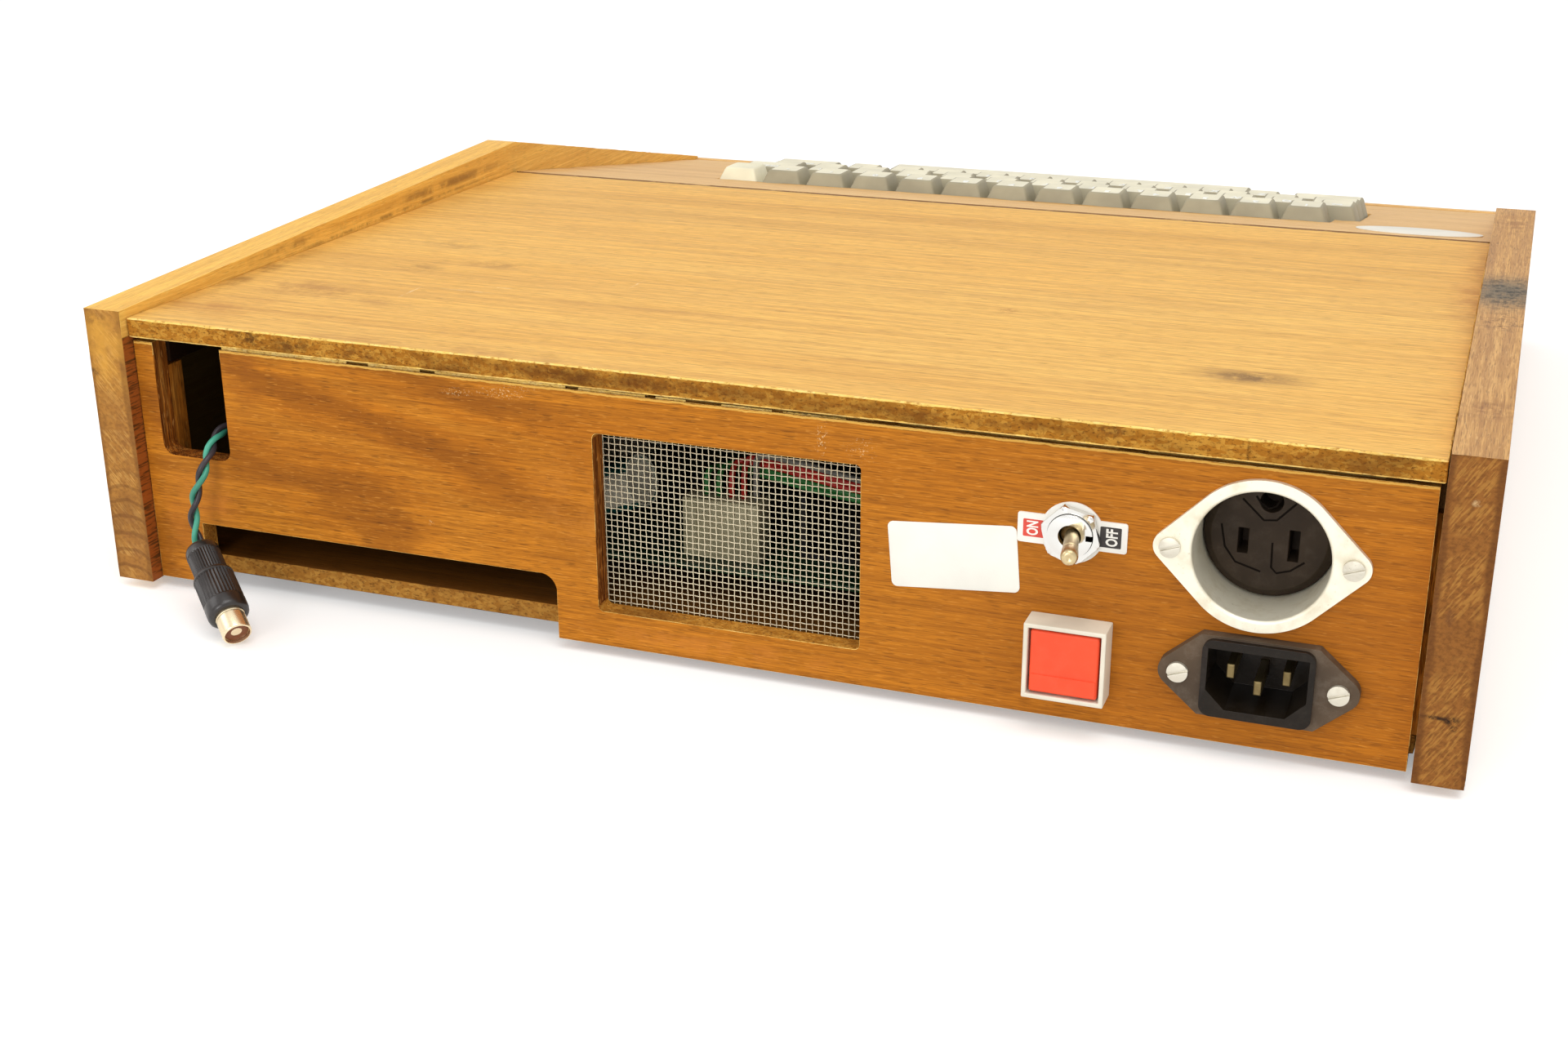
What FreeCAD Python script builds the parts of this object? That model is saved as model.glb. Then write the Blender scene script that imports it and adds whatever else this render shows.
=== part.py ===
import FreeCAD, Part
import math
import os

# A vintage home computer in a home-made wooden case: two solid cheeks carry a lift-off lid,
# a sloping keyboard panel, a base board and a rear panel with the mains fittings, a wire-mesh
# window, cut-outs for cables and a short video lead.
# Millimetres. X runs to the user's right, Y to the rear, Z up. The origin lies on the table,
# under the middle of the whole part. Places on the case are given from the left cheek's inner
# face, from the rear panel's outer face and from the cheeks' lower edge.

V = FreeCAD.Vector

# Cheeks
INNER_WIDTH = 375.2
CASE_DEPTH = 434.0
CHEEK_THICK = 12.7
CHEEK_REAR_HEIGHT = 86.5
CHEEK_RIDGE_HEIGHT = 93.2
CHEEK_FRONT_HEIGHT = 53.6
CHEEK_REAR_PROUD = 4.5
CHEEK_FRONT_PROUD = 4.0
CHEEK_CORNER_ROUND = 3.0
RIDGE_TO_FRONT = 188.3

# Boards between the cheeks
REAR_PANEL_THICK = 6.35
REAR_PANEL_TOP = 76.5
REAR_PANEL_LIFT = 0.5
REAR_PANEL_LEFT_GAP = 1.5
LID_THICK = 6.0
LID_REAR_PROUD = 2.0
LID_REAR_DROP = 2.5
LID_RIDGE_DROP = 11.6
LID_RIDGE_INSET = 2.1
BASE_THICK = 5.5
BASE_LIFT = 2.3
KEY_PANEL_THICK = 6.35
KEY_PANEL_FRONT_DROP = 0.8
FRONT_BOARD_THICK = 6.35
FRONT_RAIL_THICK = 3.0
FRONT_RAIL_HEIGHT = 14.0
FRONT_RAIL_PROUD = 0.4
SEAM = 0.6
BOARD_SLIP = 0.3

# Inner timber
BATTEN_SIDE = 11.5
REAR_BATTEN_WIDTH = 6.9
REAR_BATTEN_THICK = 6.35
CLEAT_WIDTH = 8.0
CLEAT_HEIGHT = 9.0
CLEAT_END_GAP = 1.0
SEAT_GAP = 0.2

# Feet and screws
FOOT_HEIGHT = 3.0
FOOT_RADIUS = 5.8
FOOT_EDGE_ROUND = 1.2
FOOT_SETBACK = 16.0
NAIL_RADIUS = 0.9
NAIL_LENGTH = 11.0
PIN_FIT = 0.05
CASE_SCREW_RADIUS = 1.4
CASE_SCREW_HEAD_RADIUS = 2.8
CASE_SCREW_HEAD_HEIGHT = 1.7
CASE_SCREW_LENGTH = 22.0
CASE_SCREW_EDGE = 0.35

# Cut-outs in the rear panel
WINDOW_LEFT = 146.0
WINDOW_RIGHT = 224.2
WINDOW_BOTTOM = 11.1
WINDOW_TOP = 64.5
WINDOW_CORNER = 1.6
NOTCH_LEFT = 237.4
NOTCH_RIGHT = 357.6
NOTCH_TOP = 20.2
NOTCH_CORNER = 5.0
CABLE_SLOT_LEFT = 344.7
CABLE_SLOT_RIGHT = 368.3
CABLE_SLOT_BOTTOM = 41.6
CABLE_SLOT_CORNER = 3.5

# Wire mesh behind the window
MESH_MARGIN = 9.0
MESH_FOOT = 3.0
MESH_THICK = 0.8
MESH_COLUMNS = 17
MESH_ROWS = 12
MESH_BAR = 1.2
STAPLE_WIRE = 0.6
STAPLE_WIDTH = 9.0
STAPLE_EDGE = 4.0
STAPLE_DROP = 2.1

# Foam seal on the rear panel's top edge
SEAL_DEPTH = 4.5
SEAL_FRONT_INSET = 1.2
SEAL_LEFT = 14.0
SEAL_RIGHT = 336.0
SEAL_STRIPS = 5
SEAL_NOTCH = 7.0

# Mains outlet
OUTLET_X = 41.4
OUTLET_Z = 53.4
OUTLET_SCREW_SPAN = 44.8
OUTLET_FLANGE_RADIUS = 20.2
OUTLET_EAR_RADIUS = 4.3
OUTLET_FLANGE_THICK = 1.6
OUTLET_CUP_RADIUS = 17.0
OUTLET_CUP_WALL = 1.1
OUTLET_CUP_DEPTH = 17.0
OUTLET_LIP_ROUND = 0.9
OUTLET_FACE_DEPTH = 13.0
OUTLET_BODY_LENGTH = 24.0
OUTLET_BODY_SLIP = 0.25
OUTLET_BODY_CHAMFER = 2.2
SLOT_PITCH = 12.7
SLOT_WIDTH = 2.6
SLOT_HEIGHT_HOT = 6.8
SLOT_HEIGHT_NEUTRAL = 8.4
SLOT_DROP = 1.6
SLOT_DEPTH = 9.0
GROUND_RADIUS = 2.9
GROUND_RISE = 9.7
PANEL_HOLE_SLIP = 0.4

# Mains inlet
INLET_X = 39.4
INLET_Z = 20.4
INLET_SCREW_SPAN = 40.0
INLET_HALF_WIDTH = 14.6
INLET_HALF_HEIGHT = 11.2
INLET_EAR_REACH = 25.1
INLET_EAR_HALF = 3.4
INLET_EAR_SHOULDER = 23.6
INLET_FLANGE_THICK = 3.2
INLET_RIM_PROUD = 1.6
INLET_RIM_INSET = 0.6
INLET_RIM_ROUND = 3.0
INLET_SOCKET_WIDTH = 25.0
INLET_SOCKET_HEIGHT = 16.5
INLET_SOCKET_DEPTH = 17.0
INLET_SOCKET_CHAMFER = 5.0
INLET_BODY_WIDTH = 27.6
INLET_BODY_HEIGHT = 19.6
INLET_BODY_LENGTH = 21.0
PIN_SPACING = 14.0
PIN_WIDTH = 2.0
PIN_HEIGHT = 4.0
PIN_RISE = 1.4
PIN_EARTH_DROP = 2.4
PIN_RECESS = 3.0
PIN_TAIL = 6.0
PIN_TIP_ROUND = 0.5

# Flange screws
FLANGE_SCREW_HEAD_RADIUS = 2.7
FLANGE_SCREW_HEAD_HEIGHT = 1.1
FLANGE_SCREW_RADIUS = 1.45
FLANGE_SCREW_REACH = 12.0
SCREW_SLOT_WIDTH = 0.7
SCREW_SLOT_DEPTH = 0.6
SCREW_SLOT_TURN = 20.0

# Toggle switch
SWITCH_X = 89.0
SWITCH_Z = 53.3
PLATE_RADIUS = 8.3
PLATE_THICK = 0.5
PLATE_SPAN = 28.5
PLATE_TAB_HEIGHT = 8.2
NUT_ACROSS_FLATS = 14.0
NUT_THICK = 2.2
NUT_DOME = 0.55
NUT_TURN = 15.0
BUSHING_RADIUS = 5.85
BUSHING_PROUD = 3.4
BUSHING_BORE = 3.3
BUSHING_MOUTH = 2.7
LEVER_RADIUS = 1.9
LEVER_REACH = 18.0
LEVER_TIP_ROUND = 0.9
LEVER_LEAN = 10.0
LEVER_BALL_RADIUS = 3.2
PIVOT_DEPTH = 0.5
PIVOT_PIN_RADIUS = 0.8
PIVOT_PIN_INSET = 0.9
KEYWAY_WIDTH = 1.5
KEYWAY_DEPTH = 1.7
KEYWAY_LENGTH = 2.4
SWITCH_BODY_WIDTH = 29.0
SWITCH_BODY_HEIGHT = 16.5
SWITCH_BODY_LENGTH = 19.0
SWITCH_TAIL_LENGTH = 8.0
SWITCH_TAIL_WIDTH = 5.0
SWITCH_TAIL_THICK = 0.9
SWITCH_TAIL_SPACING = 10.0

# Reset push button
BUTTON_X = 87.9
BUTTON_Z = 19.5
BEZEL_WIDTH = 21.6
BEZEL_HEIGHT = 21.1
BEZEL_PROUD = 8.5
BEZEL_WALL = 1.25
BEZEL_FLOOR = 1.2
CAP_MARGIN = 0.55
CAP_INSET = 0.5
CAP_THICK = 3.6
CAP_STEM_SIDE = 8.0
CAP_EDGE_ROUND = 0.7
BUTTON_TRAVEL = 2.8
BUTTON_BODY_SIDE = 17.6
BUTTON_BODY_LENGTH = 19.0
BUTTON_STEM_SLIP = 0.3
BUTTON_STEM_REACH = 11.0

# Blank paper label and blank badge
LABEL_CENTRE_X = 120.2
LABEL_CENTRE_Z = 42.3
LABEL_WIDTH = 35.0
LABEL_HEIGHT = 18.5
LABEL_THICK = 0.2
LABEL_CORNER = 1.6
LABEL_LEAN = 4.9
BADGE_CENTRE_X = 25.5
BADGE_SETBACK = 27.0
BADGE_LENGTH = 44.0
BADGE_WIDTH = 37.0
BADGE_THICK = 0.3

# Keyboard, in the keyboard panel's own plane
KEY_PITCH = 19.05
CAP_BASE = 18.0
CAP_TOP = 12.7
CAP_TOP_DEPTH = 13.2
CAP_STAND = 5.8
CAP_SUNK = 2.0
CAP_WALL = 1.3
CAP_CORNER = 1.0
CAP_DISH = 0.45
CAP_DISH_FLAT = 0.7
KEY_TRAVEL = 3.8
KEY_GAP = 0.8
KEYS_LEFT = 49.3
KEYS_SETBACK = 45.5
STEM_SIDE = 5.0
STEM_SLIP = 0.3
STEM_END_GAP = 0.4
HOUSING_SIDE = 14.0
HOUSING_HEIGHT = 8.0
HOUSING_TOP_GAP = 0.6
KEY_BOARD_THICK = 1.6
KEY_BOARD_MARGIN = 4.0
SPACER_WIDTH = 9.0
SPACER_GAP = 3.0
SPACE_GUIDE_OFFSET = 52.0

# Rows from the rear: first key's offset, then each node with its number of keys and their width,
# all in key pitches
KEY_ROW_SHARES = (
    (0.5, (("number_row_keys", 12, 1.0), ("reset_key", 1, 1.0))),
    (0.0, (("escape_key", 1, 1.0), ("upper_row_keys", 10, 1.0), ("repeat_key", 1, 1.0),
           ("return_key", 1, 1.5))),
    (0.0, (("control_key", 1, 1.25), ("home_row_keys", 12, 1.0))),
    (0.0, (("left_shift_key", 1, 1.75), ("lower_row_keys", 10, 1.0), ("right_shift_key", 1, 1.75))),
    (2.5, (("space_bar", 1, 8.5),)),
)

# Logic board and what stands on it
BOARD_WIDTH = 218.0
BOARD_RIGHT_GAP = 14.2
BOARD_SETBACK = 36.0
BOARD_FRONT_GAP = 30.0
BOARD_THICK = 1.6
STANDOFF_HEIGHT = 4.0
STANDOFF_RADIUS = 3.0
STANDOFF_INSET = 7.0
STANDOFF_ROWS = 3
CHIP_LENGTH = 19.5
CHIP_WIDTH = 6.4
CHIP_HEIGHT = 3.4
CHIP_COLUMNS = 6
CHIP_ROW_PITCH = 24.0
CHIPS_LEFT_INSET = 16.0
CHIPS_RIGHT_INSET = 17.5
CHIPS_SETBACK = 100.0
CHIPS_FRONT_GAP = 60.0
PROCESSOR_LENGTH = 52.0
PROCESSOR_WIDTH = 14.5
PROCESSOR_LEFT_INSET = 20.0
PROCESSOR_SETBACK = 80.0
LEAN_CAN_X = 232.5
LEAN_CAN_SETBACK = 50.0
LEAN_CAN_RADIUS = 8.2
LEAN_CAN_LENGTH = 34.0
LEAN_CAN_ANGLE = 20.0
LEAN_CAN_TURN = 8.0
CAN_RADIUS = 11.0
CAN_LENGTH = 46.0
CAN_COUNT = 2
CAN_PITCH = 26.0
CAN_FIRST_X = 264.0
CAN_SETBACK = 72.0
CAN_RIM = 1.0
PLUG_LEFT = 191.4
PLUG_WIDTH = 24.6
PLUG_HEIGHT = 18.8
PLUG_DEPTH = 10.0
PLUG_SETBACK = 42.0
PLUG_PITCH = 3.96
PLUG_WIRES = 5
PLUG_FIRST_WIRE = 2.6
HARNESS_RADIUS = 0.95
HARNESS_RISE = 14.5
HARNESS_LEVEL_STEP = 2.1
HARNESS_LANE_STEP = 2.3
HARNESS_END_STEP = 3.8
HARNESS_END_GAP = 0.3
HARNESS_CROSSING = ((14.0, 3.0, 0.0), (44.0, 8.0, 3.0))
HARNESS_LANDING = ((16.0, 5.0), (4.0, 8.0), (0.0, 10.0))
MAINS_WIRE_RADIUS = 1.2
MAINS_OUTLET_OFFSET = 5.4
MAINS_COIL_OFFSETS = (12.0, -9.0)
MAINS_COIL_HEIGHTS = (37.0, 27.0)
HEAT_SINK_INSET = 9.0
HEAT_SINK_SETBACK = 52.0
HEAT_SINK_WIDTH = 30.0
HEAT_SINK_DEPTH = 42.0
HEAT_SINK_HEIGHT = 20.0
HEAT_SINK_THICK = 2.0
REGULATOR_RADIUS = 8.0
REGULATOR_HEIGHT = 6.0
HEADER_LENGTH = 12.0
HEADER_DEPTH = 6.0
HEADER_HEIGHT = 8.0
VIDEO_HEADER_X = 318.0
VIDEO_HEADER_SETBACK = 64.0
SOCKET_X = 205.0
SOCKET_CHIP_GAP = 6.0
SOCKET_LENGTH = 21.0
RIBBON_WIDTH = 18.0
RIBBON_THICK = 1.0
RIBBON_BEND_DROP = 9.0
RIBBON_STEP = 16.0

# Transformers
TRANSFORMER_X = 60.0
TRANSFORMER_SETBACK = 100.0
TRANSFORMER_PITCH = 58.0
TRANSFORMER_COUNT = 2
CORE_WIDTH = 66.0
CORE_DEPTH = 34.0
CORE_HEIGHT = 55.0
CORE_LIMB = 11.0
COIL_OVERHANG = 10.0
COIL_GAP = 0.3
CORE_FOOT_WIDTH = 88.0
CORE_FOOT_THICK = 1.6

# Video lead, from its header on the logic board over the cable slot's sill to the in-line jack
LEAD_RADIUS = 1.8
JACK_NECK_RADIUS = 3.0
JACK_NECK_LENGTH = 3.0
JACK_REAR_RADIUS = 5.0
JACK_REAR_LENGTH = 10.5
JACK_FRONT_RADIUS = 6.1
JACK_FRONT_LENGTH = 15.5
JACK_GROOVE_LENGTH = 1.0
JACK_GROOVE_RADIUS = 4.4
JACK_SLEEVE_RADIUS = 4.3
JACK_SLEEVE_LENGTH = 7.0
JACK_SLEEVE_WALL = 0.5
JACK_RIM_DEPTH = 0.9
JACK_CENTRE_RADIUS = 1.6
JACK_CENTRE_DEPTH = 6.0
JACK_SEAT = 4.0
JACK_EDGE = 0.8

CUT = 1.0
TINY = 0.02
HEX_SIDES = 6
ARC_TRIM_SHARE = 0.45

# What follows from these sizes
REAR_Y = (CASE_DEPTH - LEVER_REACH) / 2
FRONT_Y = REAR_Y - CASE_DEPTH
PANEL_BACK_Y = REAR_Y - REAR_PANEL_THICK
RIDGE_Y = FRONT_Y + RIDGE_TO_FRONT
LID_FRONT_Y = RIDGE_Y + LID_RIDGE_INSET
LID_REAR_Y = REAR_Y + LID_REAR_PROUD
HALF_WIDTH = INNER_WIDTH / 2

# The video lead's points: from the left cheek, from the rear panel's outer face, from the
# cheeks' lower edge, chosen by hand
LEAD_POINTS = (
    (318.0, -58.0, 21.4),
    (318.6, -52.0, 24.5),
    (323.0, -43.5, 29.5),
    (331.0, -33.5, 37.0),
    (341.0, -22.5, 45.5),
    (349.1, -13.6, 50.0),
    (351.6, -5.9, 49.4),
    (350.0, 1.7, 46.5),
    (349.4, 6.4, 41.9),
    (350.5, 9.0, 36.9),
    (352.3, 9.4, 31.6),
    (353.2, 9.5, 26.6),
    (352.6, 10.2, 22.3),
    (351.0, 11.4, 18.7),
)
JACK_TIP = (325.2, 31.6, 1.4)


# Hand-chosen bends of the wires behind the fittings, in the same terms
LIVE_BENDS = ((46.4, -36.0, 21.8), (54.0, -40.5, 27.0), (66.5, -40.0, 40.0), (79.0, -41.0, 53.3))
NEUTRAL_BENDS = ((32.4, -38.0, 21.8), (33.5, -48.0, 30.0), (35.0, -52.0, 42.0), (36.0, -46.0, 53.4))
SWITCHED_BENDS = ((89.0, -42.0, 53.3), (87.5, -52.0, 51.0), (80.0, -58.0, 43.0), (72.0, -64.5, 37.0))
EARTH_BENDS = ((39.4, -36.0, 18.0), (41.5, -47.0, 18.5), (47.0, -56.0, 22.0), (51.0, -64.5, 27.0))


def across(distance):
    """X of a place at a distance from the left cheek's inner face."""
    return distance - HALF_WIDTH


def up(height):
    """Z of a place at a height above the cheeks' lower edge."""
    return FOOT_HEIGHT + height


def spot(place):
    """Point of a place given from the left cheek, the rear panel and the cheeks' lower edge."""
    return V(across(place[0]), REAR_Y + place[1], up(place[2]))


def lid_top(y):
    """Z of the lid's upper face, which falls a little from the rear to the ridge."""
    rear = up(CHEEK_REAR_HEIGHT - LID_REAR_DROP)
    front = up(CHEEK_RIDGE_HEIGHT - LID_RIDGE_DROP)
    return rear + (front - rear) * (REAR_Y - y) / (REAR_Y - LID_FRONT_Y)


KEY_PANEL_REAR = V(0, LID_FRONT_Y - SEAM, lid_top(LID_FRONT_Y))
KEY_PANEL_FRONT = V(0, FRONT_Y + CHEEK_FRONT_PROUD, up(CHEEK_FRONT_HEIGHT - KEY_PANEL_FRONT_DROP))
KEY_PANEL_LENGTH = KEY_PANEL_REAR.distanceToPoint(KEY_PANEL_FRONT)
SLOPE = math.atan2(KEY_PANEL_REAR.z - KEY_PANEL_FRONT.z, KEY_PANEL_REAR.y - KEY_PANEL_FRONT.y)
KEY_PLANE = FreeCAD.Placement(KEY_PANEL_REAR, FreeCAD.Rotation(V(1, 0, 0), math.degrees(SLOPE)))
HOUSING_TOP = -(CAP_SUNK + KEY_TRAVEL + HOUSING_TOP_GAP)
KEY_BOARD_TOP = HOUSING_TOP - HOUSING_HEIGHT
STEM_END = KEY_BOARD_TOP + KEY_TRAVEL + STEM_END_GAP
BASE_TOP = up(BASE_LIFT + BASE_THICK)
BOARD_TOP = BASE_TOP + STANDOFF_HEIGHT + BOARD_THICK


def key_panel_top(y):
    """Z of the keyboard panel's upper face."""
    return KEY_PANEL_REAR.z - (KEY_PANEL_REAR.y - y) * math.tan(SLOPE)


def key_panel_under(y):
    """Z of the keyboard panel's lower face."""
    return key_panel_top(y) - KEY_PANEL_THICK / math.cos(SLOPE)


def block(x0, x1, y0, y1, z0, z1):
    """Box between two opposite corners."""
    return Part.makeBox(x1 - x0, y1 - y0, z1 - z0, V(x0, y0, z0))


def centred(x, z, width, height, y0, y1):
    """Box whose X and Z sides lie evenly about a centre."""
    return block(x - width / 2, x + width / 2, y0, y1, z - height / 2, z + height / 2)


def rod(start, direction, length, radius):
    """Cylinder from a point along a direction."""
    return Part.makeCylinder(radius, length, start, direction)


def side_prism(outline, x0, x1):
    """Prism along X over an outline of (y, z) points."""
    points = [V(x0, y, z) for y, z in outline]
    face = Part.Face(Part.makePolygon(points + points[:1]))
    return face.extrude(V(x1 - x0, 0, 0))


def mirrored(shapes):
    """Shapes together with their copies on the other side of the case's middle plane."""
    return shapes + [shape.mirror(V(0, 0, 0), V(1, 0, 0)) for shape in shapes]


def rounded_along(shape, direction, radius):
    """The shape with every edge parallel to a direction rounded."""
    edges = [edge for edge in shape.Edges if is_along(edge, direction)]
    return shape.makeFillet(radius, edges)


def is_along(edge, direction):
    """True for a straight edge parallel to a direction."""
    if edge.Curve.TypeId != "Part::GeomLine":
        return False
    return edge.tangentAt(edge.FirstParameter).cross(direction).Length < TINY


def group(shapes):
    """Several separate solids as one shape."""
    return Part.makeCompound(shapes)


def save(name, shape):
    """Write one sub-part."""
    shape.exportStep("parts/" + name + ".step")


# Cheeks, boards and inner timber


def cheek():
    """Left cheek: solid board with a ridge where the lid meets the keyboard panel."""
    outline = (
        (FRONT_Y, FOOT_HEIGHT),
        (REAR_Y + CHEEK_REAR_PROUD, FOOT_HEIGHT),
        (REAR_Y + CHEEK_REAR_PROUD, up(CHEEK_REAR_HEIGHT)),
        (RIDGE_Y, up(CHEEK_RIDGE_HEIGHT)),
        (FRONT_Y, up(CHEEK_FRONT_HEIGHT)),
    )
    board = side_prism(outline, -HALF_WIDTH - CHEEK_THICK, -HALF_WIDTH)
    corners = [edge for edge in board.Edges if is_along(edge, V(1, 0, 0)) and is_front_corner(edge)]
    board = board.makeFillet(CHEEK_CORNER_ROUND, corners)
    for place in foot_places():
        board = board.cut(rod(place, V(0, 0, 1), NAIL_LENGTH + CUT, NAIL_RADIUS + PIN_FIT))
    return board


def is_front_corner(edge):
    """True for the cheek's edges at its front face."""
    return abs(edge.CenterOfMass.y - FRONT_Y) < CUT


def foot_places():
    """Points under the left cheek where the two glides are nailed on."""
    x = -HALF_WIDTH - CHEEK_THICK / 2
    front = FRONT_Y + FOOT_SETBACK
    rear = REAR_Y + CHEEK_REAR_PROUD - FOOT_SETBACK
    return [V(x, front, FOOT_HEIGHT), V(x, rear, FOOT_HEIGHT)]


def glide_feet():
    """Four nail-on glides with domed edges."""
    feet = []
    for place in foot_places():
        disc = rod(V(place.x, place.y, 0), V(0, 0, 1), FOOT_HEIGHT, FOOT_RADIUS)
        lower = [edge for edge in disc.Edges if edge.CenterOfMass.z < TINY]
        disc = disc.makeFillet(FOOT_EDGE_ROUND, lower)
        nail = rod(V(place.x, place.y, FOOT_HEIGHT - CUT), V(0, 0, 1), NAIL_LENGTH + CUT, NAIL_RADIUS)
        feet.append(disc.fuse(nail).removeSplitter())
    return group(mirrored(feet))


def base_board():
    """Base board between the cheeks, rear panel and front board."""
    rear = PANEL_BACK_Y
    front = FRONT_Y + CHEEK_FRONT_PROUD + FRONT_BOARD_THICK
    x = HALF_WIDTH - BOARD_SLIP
    board = block(-x, x, front, rear, up(BASE_LIFT), BASE_TOP)
    for place in case_screw_places():
        board = board.cut(screw_space(place))
    return board


def case_screw_places():
    """Points on the base board's underside, below the four corner battens."""
    inset = CASE_SCREW_HEAD_RADIUS + CASE_SCREW_EDGE
    front_x = HALF_WIDTH - BATTEN_SIDE / 2
    front_y = FRONT_Y + CHEEK_FRONT_PROUD + FRONT_BOARD_THICK + BATTEN_SIDE / 2
    rear_x = HALF_WIDTH - BOARD_SLIP - inset
    rear_y = PANEL_BACK_Y - inset
    return [V(side * x, y, up(BASE_LIFT)) for side in (-1, 1)
            for x, y in ((front_x, front_y), (rear_x, rear_y))]


def screw_space(place):
    """Countersunk hole for a case screw."""
    head = Part.makeCone(CASE_SCREW_HEAD_RADIUS + PIN_FIT, CASE_SCREW_RADIUS + PIN_FIT,
                         CASE_SCREW_HEAD_HEIGHT, place)
    shank = rod(place, V(0, 0, 1), CASE_SCREW_LENGTH + PIN_FIT, CASE_SCREW_RADIUS + PIN_FIT)
    return head.fuse(shank)


def case_screws():
    """Slotted countersunk wood screws from the base board into the battens."""
    screws = []
    for place in case_screw_places():
        head = Part.makeCone(CASE_SCREW_HEAD_RADIUS, CASE_SCREW_RADIUS, CASE_SCREW_HEAD_HEIGHT, place)
        shank = rod(place, V(0, 0, 1), CASE_SCREW_LENGTH, CASE_SCREW_RADIUS)
        half = SCREW_SLOT_WIDTH / 2
        reach = CASE_SCREW_HEAD_RADIUS + CUT
        slot = block(place.x - reach, place.x + reach, place.y - half, place.y + half,
                     place.z - CUT, place.z + SCREW_SLOT_DEPTH)
        screws.append(head.fuse(shank).removeSplitter().cut(slot))
    return group(screws)


def corner_battens():
    """Four upright battens in the corners, under the cleats, the rear two thinner."""
    x0 = -HALF_WIDTH
    rear_top = lid_top(PANEL_BACK_Y) - LID_THICK - SEAT_GAP - CLEAT_HEIGHT
    rear = block(x0, x0 + REAR_BATTEN_WIDTH, PANEL_BACK_Y - REAR_BATTEN_THICK, PANEL_BACK_Y, BASE_TOP,
                 rear_top - CLEAT_END_GAP)
    y0 = FRONT_Y + CHEEK_FRONT_PROUD + FRONT_BOARD_THICK
    front_top = key_panel_under(y0) - CLEAT_HEIGHT - CLEAT_END_GAP
    front = block(x0, x0 + BATTEN_SIDE, y0, y0 + BATTEN_SIDE, BASE_TOP, front_top)
    battens = mirrored([rear, front])
    for place in case_screw_places():
        battens = [batten.cut(screw_space(place)) for batten in battens]
    return group(battens)


def side_cleats():
    """Strips along the cheeks: two under the lid and two under the keyboard panel."""
    x0 = -HALF_WIDTH
    x1 = x0 + CLEAT_WIDTH
    rear = PANEL_BACK_Y
    ridge = KEY_PANEL_REAR.y
    top_rear = lid_top(rear) - LID_THICK - SEAT_GAP
    top_ridge = lid_top(ridge) - LID_THICK - SEAT_GAP
    lid_cleat = side_prism(((rear, top_rear), (ridge, top_ridge), (ridge, top_ridge - CLEAT_HEIGHT),
                            (rear, top_rear - CLEAT_HEIGHT)), x0, x1)
    back = ridge - CLEAT_END_GAP
    front = FRONT_Y + CHEEK_FRONT_PROUD + FRONT_BOARD_THICK
    key_cleat = side_prism(((back, key_panel_under(back)), (front, key_panel_under(front)),
                            (front, key_panel_under(front) - CLEAT_HEIGHT),
                            (back, key_panel_under(back) - CLEAT_HEIGHT)), x0, x1)
    return group(mirrored([lid_cleat, key_cleat]))


def lid():
    """Lift-off lid board that drops between the cheeks."""
    x = HALF_WIDTH - BOARD_SLIP
    outline = (
        (LID_REAR_Y, lid_top(LID_REAR_Y)),
        (LID_FRONT_Y, lid_top(LID_FRONT_Y)),
        (LID_FRONT_Y, lid_top(LID_FRONT_Y) - LID_THICK),
        (LID_REAR_Y, lid_top(LID_REAR_Y) - LID_THICK),
    )
    return side_prism(outline, -x, x)


def key_panel():
    """Sloping keyboard panel with the cut-out that the keys stand in."""
    x = HALF_WIDTH - BOARD_SLIP
    board = block(-x, x, -KEY_PANEL_LENGTH, 0, -KEY_PANEL_THICK, 0)
    for x0, x1, y0, y1 in key_row_spans():
        board = board.cut(block(x0 - KEY_GAP, x1 + KEY_GAP, y0 - KEY_GAP, y1 + KEY_GAP,
                                -KEY_PANEL_THICK - CUT, CUT))
    board = board.removeSplitter()
    board.Placement = KEY_PLANE
    rear = KEY_PANEL_REAR
    return board.cut(block(-HALF_WIDTH, HALF_WIDTH, rear.y, rear.y + KEY_PANEL_THICK,
                           rear.z - 2 * KEY_PANEL_THICK, rear.z + CUT))


def front_board():
    """Upright board under the keyboard panel's front edge."""
    y0 = FRONT_Y + CHEEK_FRONT_PROUD
    y1 = y0 + FRONT_BOARD_THICK
    bottom = up(REAR_PANEL_LIFT)
    x = HALF_WIDTH - BOARD_SLIP
    return side_prism(((y0, bottom), (y1, bottom), (y1, key_panel_under(y1)), (y0, key_panel_under(y0))),
                      -x, x)


def front_rail():
    """Thin rail over the front edge of the keyboard panel."""
    y1 = FRONT_Y + CHEEK_FRONT_PROUD
    top = KEY_PANEL_FRONT.z + FRONT_RAIL_PROUD
    x = HALF_WIDTH - BOARD_SLIP
    return block(-x, x, y1 - FRONT_RAIL_THICK, y1, top - FRONT_RAIL_HEIGHT, top)


def panel_hole(x0, x1, z0, z1, radius, chosen):
    """Upright through-hole of the rear panel with some corners rounded."""
    hole = block(x0, x1, PANEL_BACK_Y - CUT, REAR_Y + CUT, z0, z1)
    edges = [edge for edge in hole.Edges if is_along(edge, V(0, 1, 0)) and chosen(edge.CenterOfMass)]
    return hole.makeFillet(radius, edges)


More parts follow.
